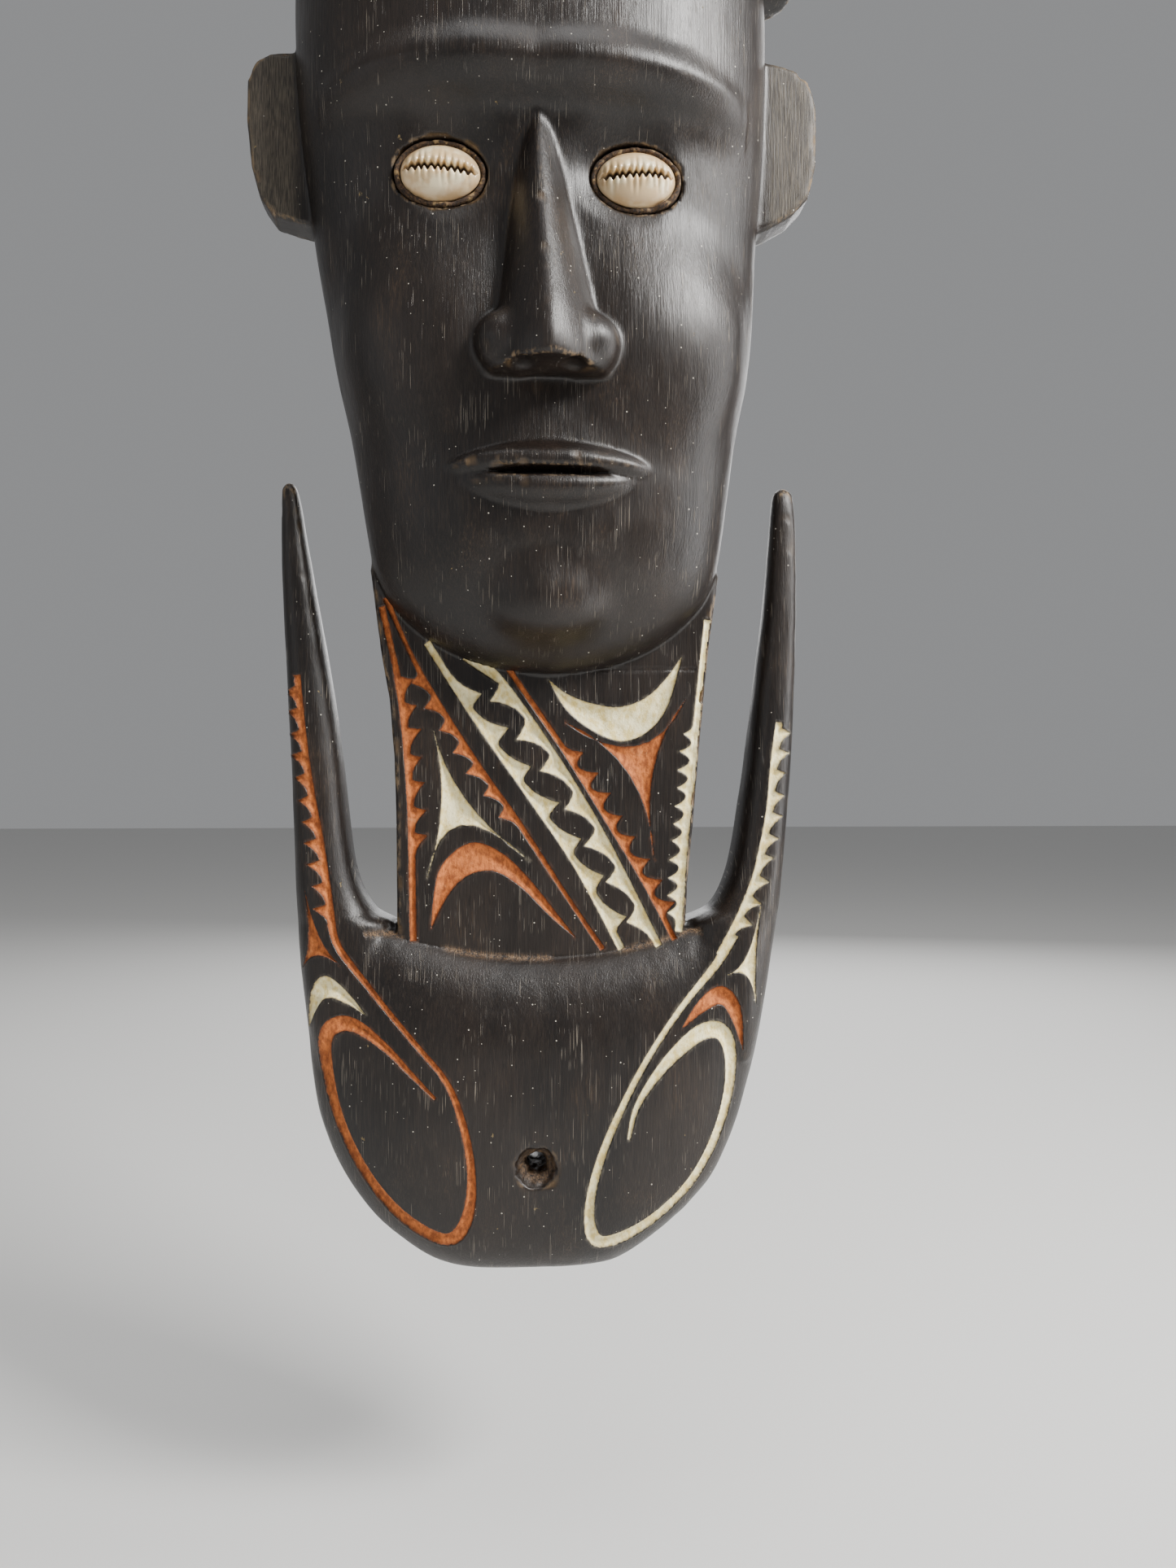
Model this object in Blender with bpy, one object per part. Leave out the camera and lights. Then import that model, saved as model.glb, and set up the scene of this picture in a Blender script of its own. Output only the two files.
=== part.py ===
"""Carved suspension hook: mask-like head, flat neck panel, anchor-shaped double hook.

Everything is measured in millimetres: x to the right, h forward from the flat
back (world -Y), z up from a level just above the headband. The finished part is
lowered by HANG_Z, so its origin is the centre of the hanging hole on the back.
"""

import math

import bpy

MM = 0.001

# ---- driving dimensions (mm) -------------------------------------------------
HANG_Z = 36.0  # height of the hanging hole
CROWN_Z = 22.0
HAIRLINE_Z = -10.0  # under the cap above the headband
CHIN_Z = -249.0
EYE_Z = (CROWN_Z + CHIN_Z) / 2  # the eye line halves the head
BROW_Z = HAIRLINE_Z - (HAIRLINE_Z - CHIN_Z) / 3  # brow, nose base and chin split the face in thirds
NOSE_BASE_Z = HAIRLINE_Z - 2 * (HAIRLINE_Z - CHIN_Z) / 3
MOUTH_Z = NOSE_BASE_Z - (NOSE_BASE_Z - CHIN_Z) / 3
HOLLOW_Z = -112.0
EYE_X = 27.0  # one eye width either side of the middle

PANEL_FRONT = 22.0
GROOVE = 1.1  # depth of the cut ornament
HOOK_HOLE = (0.5, -391.0)
HOLE_R = 3.1
COUNTERSINK_R = 6.4
LUG_HOLE_R = 4.0
LUG_TOP_R = 12.0
LUG_THICK = 14.0
EAR_BACK, EAR_FRONT = 12.0, 24.0

SHELL = (11.0, 7.6)  # half length, half width
SHELL_PEAK, SHELL_MID, SHELL_BACK = 50.4, 45.0, 42.0
SOCKET = (13.0, 9.6)
SOCKET_FLOOR = 38.5
FIT_GAP = 0.3
BED_FRONT = 45.7

# height of section, half width, front height
HEAD = (
    (22, 7, 25), (20.5, 19, 31), (17, 32, 37), (11, 44, 43.5), (2, 54, 49.5), (-10, 61, 53.5),
    (-24, 65.5, 56), (-40, 68, 57.6), (-56, 69, 58.6), (-72, 68.8, 59.4), (-82, 68.3, 59.5),
    (-88, 68, 58.8), (-93, 67.7, 56.4), (-98.5, 67.4, 52), (-106, 66.8, 49.8), (-120, 65.4, 48.6),
    (-140, 63.4, 48), (-160, 60.8, 48), (-180, 56.7, 48.5),
    (-196, 54.2, 49), (-208, 52.4, 48.5), (-218, 50.6, 46.5), (-226, 47.4, 43.5),
    (-233, 41.8, 39.5), (-239, 34.6, 35.5), (-243.5, 26.2, 31.5), (-246.5, 17.5, 27.5),
    (-248.4, 8, 23.5),
)
HEAD_LEAN = ((0, -0.5), (-60, -0.5), (-120, 0.8), (-154, 2.6), (-190, 3.2), (-250, 3.8))

# height, outer edge, inner edge, back height, front height
LEFT_PRONG = (
    (-191.2, -73.9, -71.6, 11.5, 14.5), (-193.5, -75.0, -70.5, 10, 16), (-207, -75.2, -68, 8.5, 17.5),
    (-225, -74.7, -64.9, 7, 19), (-242, -73.8, -61.8, 5.5, 20), (-259, -73, -59.1, 4, 21),
    (-276, -72.1, -56.9, 2.5, 22), (-290, -71.5, -55.4, 1.5, 22.8), (-304, -71, -53.6, 0.5, 23.6),
    (-312, -70.8, -51.2, -0.5, 24.2), (-318.5, -70.5, -47.1, -1.5, 24.8), (-323, -70.3, -41.5, -2.5, 25.4),
    (-334, -69.4, -41.5, -3.5, 26.5), (-350, -67.4, -46, -4, 27), (-364, -65, -51, -4, 25),
)
RIGHT_PRONG = (
    (-190.4, 74.9, 77.4, 11.5, 14.5), (-192.5, 73.4, 79.2, 10, 16), (-207, 72.2, 80.2, 8.5, 17.5),
    (-225, 70.6, 80.3, 7, 19), (-242, 68.6, 80, 5.5, 20), (-259, 66.6, 79.4, 4, 21),
    (-276, 64.6, 78.4, 2.5, 22), (-290, 62.6, 77.4, 1.5, 22.8), (-304, 60.2, 76.2, 0.5, 23.6),
    (-312, 57.6, 75.4, -0.5, 24.2), (-318.5, 53.4, 74.7, -1.5, 24.8), (-323, 46.4, 74.1, -2.5, 25.4),
    (-334, 45, 72.2, -3.5, 26.5), (-350, 49, 69.6, -4, 27), (-364, 53, 66.6, -4, 25),
)
# height, left edge, right edge, front height
HOOK = (
    (-323.5, -58, 60, 14), (-325.5, -66, 68.5, 18.6), (-328.5, -69, 72.4, 22.8), (-333, -69.4, 72.3, 26.4),
    (-340, -68.6, 71.2, 29.6), (-350, -67.5, 69.6, 31.8), (-362, -66.3, 67.3, 33), (-376, -64.2, 63.6, 33.4),
    (-388, -60.4, 59.5, 33), (-398.5, -55.1, 54.4, 32), (-407.5, -48.5, 47, 30.4), (-415.5, -40, 37.6, 28),
    (-421, -32.4, 30.4, 25), (-424.4, -24.6, 24.2, 21), (-425.6, -20, 19, 16),
)

PANEL = (
    (-44, -204), (-48.1, -218), (-47.1, -226), (-45.2, -241), (-42.6, -257), (-41.2, -273),
    (-40.7, -290), (-40.5, -309), (-40.3, -340), (44, -340), (45.9, -309), (47.6, -290),
    (49.3, -270), (50.6, -256), (52.1, -241), (53.6, -229), (55, -219), (50, -204),
)
LEFT_EAR = (
    (-58, -67.5), (-68.8, -68.6), (-76.3, -69.2), (-80.6, -71.6), (-83, -76), (-83.3, -88.5), (-82, -102),
    (-79.6, -111), (-76, -116), (-70, -117.8), (-58, -120),
)
RIGHT_EAR = (
    (58, -120), (70, -115), (76.8, -111.2), (81.8, -105.7), (84.1, -96), (84.2, -80), (83.3, -75),
    (81.6, -70.8), (78.2, -67.9), (73.4, -66.5), (67.6, -65.6), (58, -64),
)

scene = bpy.context.scene
for leftover in list(bpy.data.objects):
    bpy.data.objects.remove(leftover)

product = bpy.data.collections.new("suspension_hook")
cutters = bpy.data.collections.new("construction")
scene.collection.children.link(product)
scene.collection.children.link(cutters)


# ---- small tools ---------------------------------------------------------------
def at(table, z, column=1):
    """Value of a height table at z, straight between its rows."""
    rows = sorted(table)
    if z <= rows[0][0]:
        return rows[0][column]
    for low, high in zip(rows, rows[1:]):
        if z <= high[0]:
            k = (z - low[0]) / (high[0] - low[0])
            return low[column] + k * (high[column] - low[column])
    return rows[-1][column]


def smooth(points, per=4, closed=False):
    """Catmull-Rom line through the points."""
    n = len(points)
    out = []
    for i in range(n if closed else n - 1):
        p = [
            points[(i + k) % n] if closed else points[min(max(i + k, 0), n - 1)]
            for k in (-1, 0, 1, 2)
        ]
        for s in range(per):
            t = s / per
            out.append(
                tuple(
                    0.5
                    * (
                        2 * b
                        + (c - a) * t
                        + (2 * a - 5 * b + 4 * c - d) * t * t
                        + (3 * b - a - 3 * c + d) * t**3
                    )
                    for a, b, c, d in zip(*p)
                )
            )
    if not closed:
        out.append(tuple(points[-1]))
    return out


def object_of(name, verts, faces, folder):
    mesh = bpy.data.meshes.new(name)
    mesh.from_pydata([(x * MM, -h * MM, (z - HANG_Z) * MM) for x, h, z in verts], [], faces)
    mesh.validate()
    ob = bpy.data.objects.new(name, mesh)
    folder.objects.link(ob)
    bpy.context.view_layer.objects.active = ob
    bpy.ops.object.select_all(action="DESELECT")
    ob.select_set(True)
    bpy.ops.object.mode_set(mode="EDIT")
    bpy.ops.mesh.select_all(action="SELECT")
    bpy.ops.mesh.normals_make_consistent(inside=False)
    bpy.ops.object.mode_set(mode="OBJECT")
    if folder is cutters:
        ob.hide_render = True
        ob.display_type = "WIRE"
    return ob


def loft(name, rings, folder=None):
    """Closed skin over rings of equal count, running along z."""
    n = len(rings[0])
    verts = [p for ring in rings for p in ring]
    faces = []
    for r in range(len(rings) - 1):
        for i in range(n):
            j = (i + 1) % n
            faces.append((r * n + i, r * n + j, (r + 1) * n + j, (r + 1) * n + i))
    faces.append(tuple(range(n)))
    faces.append(tuple(range(len(verts) - n, len(verts))))
    return object_of(name, verts, faces, folder or cutters)


def ring(x, h, a, front, back, z, n=32, p_front=2.3, p_back=3.4):
    """A rounded section: half width a, reaching front and back from its middle height h."""
    out = []
    for i in range(n):
        t = 2 * math.pi * (i + 0.5) / n
        c, s = math.cos(t), math.sin(t)
        p = p_front if s > 0 else p_back
        reach = front if s > 0 else back
        out.append(
            (
                x + a * math.copysign(abs(c) ** (2 / p), c),
                h + reach * math.copysign(abs(s) ** (2 / p), s),
                z,
            )
        )
    return out


def prism(name, outlines, low, high, folder=None):
    """Straight blocks over closed flat outlines; low may be a height or a rule for it."""
    verts, faces = [], []
    for outline in outlines:
        n, k = len(outline), len(verts)
        verts += [(x, low(x, z) if callable(low) else low, z) for x, z in outline]
        verts += [(x, high, z) for x, z in outline]
        faces += [(k + i, k + (i + 1) % n, k + n + (i + 1) % n, k + n + i) for i in range(n)]
        faces += [tuple(range(k, k + n)), tuple(range(k + n, k + 2 * n))]
    ob = object_of(name, verts, faces, folder or cutters)
    if callable(low):
        bpy.ops.object.mode_set(mode="EDIT")
        bpy.ops.mesh.select_all(action="SELECT")
        bpy.ops.mesh.quads_convert_to_tris()
        bpy.ops.object.mode_set(mode="OBJECT")
    return ob


def slab(name, outline, low, high, edge, folder=None):
    """A flat piece with rounded edges: a filled curve with extrusion and bevel."""
    curve = bpy.data.curves.new(name, "CURVE")
    curve.dimensions = "2D"
    curve.fill_mode = "BOTH"
    line = curve.splines.new("POLY")
    line.points.add(len(outline) - 1)
    for point, (x, z) in zip(line.points, outline):
        point.co = (x, z, 0, 1)
    line.use_cyclic_u = True
    curve.extrude = (high - low) / 2 - edge
    curve.bevel_depth = edge
    curve.bevel_resolution = 1
    curve.offset = -edge
    rough = bpy.data.objects.new(name, curve)
    cutters.objects.link(rough)
    bpy.context.view_layer.update()
    flat = bpy.data.meshes.new_from_object(rough.evaluated_get(bpy.context.evaluated_depsgraph_get()))
    verts = [(v.co.x, (low + high) / 2 + v.co.z, v.co.y) for v in flat.vertices]
    faces = [tuple(f.vertices) for f in flat.polygons]
    bpy.data.objects.remove(rough)
    ob = object_of(name, verts, faces, folder or cutters)
    bpy.context.view_layer.objects.active = ob
    bpy.ops.object.mode_set(mode="EDIT")
    bpy.ops.mesh.select_all(action="SELECT")
    bpy.ops.mesh.remove_doubles(threshold=0.00001)
    bpy.ops.mesh.normals_make_consistent(inside=False)
    bpy.ops.object.mode_set(mode="OBJECT")
    return ob


def ellipsoid(name, centre, radii, folder=None, segments=24, rings=12):
    """A stretched ball; its poles lie on the x axis."""
    x, h, z = centre
    bpy.ops.mesh.primitive_uv_sphere_add(segments=segments, ring_count=rings, radius=1)
    ob = bpy.context.object
    verts = [(x + v.co.z * radii[0], h + v.co.x * radii[1], z + v.co.y * radii[2]) for v in ob.data.vertices]
    faces = [tuple(f.vertices) for f in ob.data.polygons]
    bpy.data.objects.remove(ob)
    return object_of(name, verts, faces, folder or cutters)


def drum(name, x, z, rx, rz, low, high, folder=None, n=32):
    """An oval cylinder along h."""
    outline = [
        (x + rx * math.cos(2 * math.pi * i / n), z + rz * math.sin(2 * math.pi * i / n)) for i in range(n)
    ]
    return prism(name, [outline], low, high, folder)


def combine(target, other, how, own=False):
    mod = target.modifiers.new(f"{how.lower()}_{other.name}", "BOOLEAN")
    mod.object = other
    mod.operation = how
    mod.solver = "EXACT"
    mod.use_self = own


# ---- ornament outlines ------------------------------------------------------------
def normals(path):
    out = []
    for i in range(len(path)):
        a, b = path[max(i - 1, 0)], path[min(i + 1, len(path) - 1)]
        dx, dz = b[0] - a[0], b[1] - a[1]
        length = math.hypot(dx, dz) or 1.0
        out.append((-dz / length, dx / length))
    return out


def along(path, s):
    """Point and left normal at the share s of a path's length."""
    lengths = [math.dist(a, b) for a, b in zip(path, path[1:])]
    want = s * sum(lengths)
    for i, step in enumerate(lengths):
        if want <= step or i == len(lengths) - 1:
            k = min(want / step, 1.0)
            (x0, z0), (x1, z1) = path[i], path[i + 1]
            return (x0 + k * (x1 - x0), z0 + k * (z1 - z0)), ((z0 - z1) / step, (x1 - x0) / step)
        want -= step
    return path[-1], (0.0, 0.0)


def toothed(points, width, teeth, reach, first=0.0, last=1.0, side=1, lean=0.65):
    """A cut line with a row of teeth on one side (side 1 is the left of its run)."""
    path = smooth(points, 2)
    back = [(x - side * nx * width / 2, z - side * nz * width / 2) for (x, z), (nx, nz) in zip(path, normals(path))]
    front = []
    marks = [(0.0, 0.5)]
    step = (last - first) / teeth
    for i in range(teeth):
        s = first + i * step
        marks += [(s + 0.02 * step, 0.5), (s + lean * step, 0.5 + reach / width), (s + 0.94 * step, 0.5)]
    marks.append((1.0, 0.5))
    for s, w in marks:
        (x, z), (nx, nz) = along(path, min(s, 1.0))
        point = (x + side * nx * width * w, z + side * nz * width * w)
        if not front or math.dist(point, front[-1]) > 0.2:
            front.append(point)
    return back + front[::-1]


def stroke(rows, per=2):
    """A line of changing width: rows of x, z, width."""
    path = smooth(rows, per)
    sides = normals([(x, z) for x, z, w in path])
    left = [(x + nx * w / 2, z + nz * w / 2) for (x, z, w), (nx, nz) in zip(path, sides)]
    right = [(x - nx * w / 2, z - nz * w / 2) for (x, z, w), (nx, nz) in zip(path, sides)]
    return left + right[::-1]


def crescent(outer, inner, per=3):
    """A moon between two edges that share their tips."""
    a = smooth(outer, per)
    b = smooth([outer[0]] + list(inner) + [outer[-1]], per)
    return a + b[1:-1][::-1]


def star(tips, centre, waist, per=5):
    """A three-pointed star with hollow sides."""
    out = []
    for i in range(3):
        a, b = tips[i], tips[(i + 1) % 3]
        mx, mz = (a[0] + b[0]) / 2 - centre[0], (a[1] + b[1]) / 2 - centre[1]
        length = math.hypot(mx, mz)
        c = (centre[0] + mx / length * waist, centre[1] + mz / length * waist)
        for s in range(per):
            t = s / per
            out.append(
                tuple(
                    (1 - t) ** 2 * p + 2 * t * (1 - t) * (2 * q - (p + r) / 2) * 0.5
                    + 2 * t * (1 - t) * q * 0.5 + t * t * r
                    for p, q, r in zip(a, c, b)
                )
            )
    return out


PANEL_CUTS = [
    # left border
    toothed([(-44.2, -232), (-41.2, -244), (-38.6, -260), (-37.2, -275), (-36.2, -292), (-35.6, -325)],
            1.9, 9, 3.0, 0.16, 0.80, side=1),
    # first ochre diagonal
    toothed([(-43.2, -228), (-36.4, -243), (-28.4, -257), (-16.3, -276), (-4.6, -292.6), (10.8, -316.5), (19.6, -329)],
            1.3, 7, 2.8, 0.20, 0.64, side=-1),
    # pair of lime bands that leave a winding ridge between them
    toothed([(-30.4, -241.5), (-18.4, -260), (-1.7, -284), (12.8, -305.5), (24.8, -328.8)],
            1.7, 8, 4.4, 0.10, 0.98, side=1),
    toothed([(-19.6, -244.5), (-7.5, -253.4), (8.7, -277), (22.2, -300), (35.9, -327.8)],
            1.7, 8, 4.2, 0.06, 0.94, side=-1),
    # second ochre diagonal
    toothed([(-6.5, -248.5), (8.7, -270.7), (22.2, -292.5), (33, -310.5), (41.2, -326.4)],
            1.3, 8, 3.2, 0.30, 0.92, side=1),
    # moon under the chin
    crescent([(4.6, -250.6), (9.6, -258.6), (17.1, -264.4), (25.4, -267.0), (33.4, -264.2), (39.4, -256.8), (43.6, -243.6)],
             [(9.6, -254.4), (17.1, -257.2), (25.4, -258.2), (33.4, -255.2), (39.4, -249.4)]),
    star([(10.2, -266.8), (45.2, -260.4), (34.8, -298.6)], (32.0, -276.2), 2.6),
    # right border
    toothed([(51.6, -233), (49.2, -256), (46.8, -280), (44.6, -300), (43.2, -324)],
            1.8, 11, 2.7, 0.36, 0.98, side=-1),
    star([(-29.4, -266.5), (-3.0, -302.4), (-31.2, -308)], (-23.6, -288.5), 2.8),
    crescent([(-30.2, -322.4), (-28.8, -309), (-24.6, -301.8), (-17.5, -298.2), (-9.1, -301.8), (-1.7, -309), (5.5, -318), (11.6, -325.6)],
             [(-26.6, -315.6), (-22.5, -310), (-17.5, -307), (-11.3, -306.8), (-3.8, -311.5), (4, -319.4)], 2),
]
HOOK_CUTS = [
    toothed([(-69.0, -252), (-67.6, -267.5), (-65.2, -283), (-62.6, -296.4), (-60.6, -308.8), (-58.6, -321.5)],
            1.3, 10, 2.8, 0.02, 0.98, side=-1),
    star([(-67.0, -313.5), (-67.6, -333.8), (-56.4, -333)], (-64.0, -327.5), 2.2, 3),
    crescent([(-65.6, -350.4), (-64.8, -341), (-61.1, -337.2), (-56.2, -339.4), (-49.6, -346.6)],
             [(-62.8, -345.2), (-59.8, -342.6), (-55.6, -343.6)], 2),
    stroke([(-57.4, -327.8, 1.2), (-46.8, -341, 1.2), (-34.5, -355.2, 1.3), (-25.5, -366, 1.6), (-20.8, -378, 2.0),
            (-18.3, -392, 2.2), (-19.3, -405, 3.2), (-23.9, -412.6, 3.8), (-31.5, -411.0, 3.4), (-41.5, -403.0, 3.0),
            (-50.3, -391.0, 2.8), (-56.8, -377, 2.6), (-60.2, -363, 3), (-60.6, -354, 3.4), (-56.8, -350.4, 3.8),
            (-50.5, -351.6, 3.0), (-42, -357.7, 1.8), (-34.8, -364.9, 1.1), (-29.1, -370.3, 0.6)]),
    toothed([(73.4, -263.5), (71.8, -275), (70.4, -288.5), (68.3, -299), (65.6, -309.5), (61.2, -319.6), (55.6, -329.5)],
            1.3, 10, 2.6, 0.02, 0.90, side=1),
    star([(67.2, -318), (57.6, -336.6), (65.4, -344)], (64.2, -334.6), 2.2, 3),
    crescent([(43.3, -351.6), (48.4, -344.2), (55.2, -341), (60.2, -346.8), (61.2, -358.4)],
             [(49.2, -347.6), (54.8, -345.8), (58.2, -350.6)], 2),
    stroke([(54.0, -335.2, 1.0), (42.5, -346.5, 1.2), (32.4, -360.6, 1.4), (24.0, -376.2, 1.6), (18.0, -391.5, 2.0),
            (15.6, -405, 2.4), (17.9, -414.3, 3.6), (25.8, -413.8, 3.4), (36, -407.8, 2.6), (45.6, -398.6, 2.4),
            (53, -386, 2.4), (57.2, -372, 2.6), (57.6, -360, 3.2), (54.4, -353.6, 4.0), (48.2, -354.0, 4.0),
            (40.2, -360.0, 3.0), (33.4, -367.7, 2.0), (28.8, -375.6, 1.2), (27.2, -382.6, 0.6)]),
]


# ---- carved body -------------------------------------------------------------------
def head_rings(extra_w=0.0, extra_h=0.0, levels=None, tilt=0.0):
    rings = []
    for z, grow in levels:
        w, front = at(HEAD, z), at(HEAD, z, 2)
        x = at(HEAD_LEAN, z)
        middle = min(19.0, front - 9.0)
        points = ring(x, middle, w + extra_w * grow, front - middle + extra_h * grow, middle + 5, z, n=40)
        rings.append([(px, ph, pz - tilt * px) for px, ph, pz in points])
    return rings


def hook_rings():
    return [
        ring((xl + xr) / 2, 12.0, (xr - xl) / 2, front - 12, 17.0, z, n=36, p_front=2.8)
        for z, xl, xr, front in HOOK
    ]


def prong_rings(table):
    return [
        ring((xa + xb) / 2, (back + front) / 2, abs(xb - xa) / 2, (front - back) / 2, (front - back) / 2, z,
             n=16, p_front=2.4, p_back=2.4)
        for z, xa, xb, back, front in table
    ]


def cut_floor(x, z):
    """Height of the groove floor: the front of the hook or prong, less the depth of the cut."""
    top = 14.5 + GROOVE
    if HOOK[-1][0] < z < HOOK[0][0]:
        xl, xr, front = (at(HOOK, z, c) for c in (1, 2, 3))
        u = min(abs(x - (xl + xr) / 2) / ((xr - xl) / 2), 1.0)
        top = max(top, 12 + (front - 12) * (1 - u**2.8) ** (1 / 2.8))
    for table in (LEFT_PRONG, RIGHT_PRONG):
        if table[-1][0] < z < table[0][0]:
            xa, xb, low, high = (at(table, z, c) for c in (1, 2, 3, 4))
            u = min(abs(x - (xa + xb) / 2) / (abs(xb - xa) / 2), 1.0)
            if u < 1.0:
                top = max(top, (low + high) / 2 + (high - low) / 2 * (1 - u**2.4) ** (1 / 2.4))
    return top - GROOVE


body = loft("carved_body", head_rings(levels=[(row[0], 0.0) for row in HEAD]), product)

band = loft(
    "headband",
    head_rings(11.6, 3.2, [(-38.9, 0.82), (-37.7, 1.0), (-24.0, 1.0), (-22.0, 0.8)], tilt=0.026),
)
combine(body, band, "UNION")

nose_rows = (
    (-97, 4.2, 50.5), (-104, 5.2, 53), (-118, 7.4, 56.6), (-134, 9.8, 60.4), (-148, 12.2, 63.8),
    (-158, 14.8, 66.2), (-165, 16.8, 67.2), (NOSE_BASE_Z, 16.4, 65.6),
)
nose = loft(
    "nose",
    [
        ring(at(HEAD_LEAN, z), 42.0, w * 1.25, tip - 42.0, 6.0, z, n=20, p_front=1.25, p_back=2.0)
        for z, w, tip in nose_rows
    ],
)
combine(body, nose, "UNION")

mouth_x = at(HEAD_LEAN, MOUTH_Z)
combine(body, ellipsoid("upper_lip", (mouth_x, 45.5, MOUTH_Z + 3.0), (27, 7.6, 5.6)), "UNION")
combine(body, ellipsoid("lower_lip", (mouth_x, 45.0, MOUTH_Z - 3.6), (24, 8.4, 6.2)), "UNION")

combine(body, slab("left_ear", LEFT_EAR, EAR_BACK, EAR_FRONT, 1.6), "UNION")
combine(body, slab("right_ear", RIGHT_EAR, EAR_BACK, EAR_FRONT, 1.6), "UNION")

lug_outline = [
    (LUG_TOP_R * math.cos(math.pi * i / 14), HANG_Z + LUG_TOP_R * math.sin(math.pi * i / 14)) for i in range(15)
] + [(-13.5, HANG_Z - 14), (-15.5, 0), (15.5, 0), (13.5, HANG_Z - 14)]
combine(body, slab("lug", lug_outline, -3.0, LUG_THICK, 2.2), "UNION")

combine(body, slab("panel", PANEL, -4.0, PANEL_FRONT, 1.2), "UNION")
combine(body, loft("hook", hook_rings()), "UNION")
combine(body, loft("left_prong", prong_rings(LEFT_PRONG)), "UNION")
combine(body, loft("right_prong", prong_rings(RIGHT_PRONG)), "UNION")

eye_lean = at(HEAD_LEAN, EYE_Z)
for word, sign in (("left", -1), ("right", 1)):
    x = eye_lean + sign * EYE_X
    combine(body, ellipsoid(f"{word}_orbit", (x, 58.0, EYE_Z), (24.5, 14, 18.5)), "DIFFERENCE")
    combine(body, drum(f"{word}_socket", x, EYE_Z, *SOCKET, SOCKET_FLOOR, 62.0, n=28), "DIFFERENCE")
combine(body, ellipsoid("lip_slit", (mouth_x, 54.0, MOUTH_Z), (23, 6.5, 1.3), segments=16), "DIFFERENCE")

combine(body, drum("lug_hole", 0, HANG_Z, LUG_HOLE_R, LUG_HOLE_R, -10, 30, n=40), "DIFFERENCE")
combine(body, drum("hook_hole", *HOOK_HOLE, HOLE_R, HOLE_R, -10, 50, n=32), "DIFFERENCE")
combine(
    body,
    ellipsoid("countersink", (HOOK_HOLE[0], 34.0, HOOK_HOLE[1]), (COUNTERSINK_R, 5.6, COUNTERSINK_R), segments=16, rings=10),
    "DIFFERENCE",
)
combine(body, ellipsoid("head_hollow", (1.4, -3.0, HOLLOW_Z), (47, 29, 90)), "DIFFERENCE")

combine(body, prism("panel_cuts", PANEL_CUTS, PANEL_FRONT - GROOVE, 34.0), "DIFFERENCE", own=True)
hook_cuts = prism("hook_cuts", HOOK_CUTS, cut_floor, 44.0)
combine(body, hook_cuts, "DIFFERENCE", own=True)

back = prism("back_plane", [[(-120, 80), (120, 80), (120, -460), (-120, -460)]], -40.0, 0.0)
combine(body, back, "DIFFERENCE")

# ---- shells and their bedding --------------------------------------------------------
TEETH = 7
nodes = [body]
for word, sign in (("left", -1), ("right", 1)):
    x = eye_lean + sign * EYE_X

    def shell_ball(name, gap, folder, x=x):
        ob = ellipsoid(name, (x, SHELL_MID, EYE_Z), (SHELL[0] + gap, 1.0, SHELL[1] + gap), folder, 24, 14)
        for v in ob.data.vertices:
            h = -v.co.y / MM - SHELL_MID
            reach = (SHELL_PEAK - SHELL_MID + gap) if h > 0 else (SHELL_MID - SHELL_BACK + gap)
            v.co.y = -(SHELL_MID + h * reach) * MM
        return ob

    shell = shell_ball(f"{word}_cowrie", 0.0, product)
    slit = ellipsoid(f"{word}_slit", (x, SHELL_PEAK + 0.4, EYE_Z), (9.6, 3.2, 0.85), segments=12, rings=12)
    combine(shell, slit, "DIFFERENCE")
    outlines = []
    for i in range(TEETH):
        u = -0.72 + 1.44 * i / (TEETH - 1)
        outlines.append((x + SHELL[0] * u, SHELL_MID + (SHELL_PEAK - SHELL_MID) * math.sqrt(1 - u * u)))
    for i, (tx, th) in enumerate(outlines):
        notch = ellipsoid(f"{word}_notch_{i}", (tx, th, EYE_Z), (0.5, 0.8, 3.0), segments=6, rings=5)
        combine(shell, notch, "DIFFERENCE")
    nodes.append(shell)

    bed = drum(
        f"{word}_eye_bedding", x, EYE_Z, SOCKET[0] - FIT_GAP, SOCKET[1] - FIT_GAP,
        SOCKET_FLOOR + FIT_GAP, BED_FRONT, product, n=24,
    )
    combine(bed, shell_ball(f"{word}_seat", FIT_GAP, cutters), "DIFFERENCE")
    nodes.append(bed)

# ---- materials ----------------------------------------------------------------------
LOOKS = {
    "carved_body": ("stained_wood", (0.035, 0.028, 0.024, 1), 0.42),
    "left_cowrie": ("left_shell", (0.83, 0.78, 0.66, 1), 0.22),
    "right_cowrie": ("right_shell", (0.83, 0.78, 0.66, 1), 0.22),
    "left_eye_bedding": ("left_putty", (0.30, 0.19, 0.10, 1), 0.8),
    "right_eye_bedding": ("right_putty", (0.30, 0.19, 0.10, 1), 0.8),
}
root = bpy.data.objects.new("suspension_hook", None)
product.objects.link(root)
for ob in nodes:
    name, colour, rough = LOOKS[ob.name]
    mat = bpy.data.materials.new(name)
    mat.use_nodes = True
    node = mat.node_tree.nodes["Principled BSDF"]
    node.inputs["Base Color"].default_value = colour
    node.inputs["Roughness"].default_value = rough
    ob.data.materials.append(mat)
    ob.parent = root
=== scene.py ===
"""Looks for the carved suspension hook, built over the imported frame."""

import math

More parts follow.
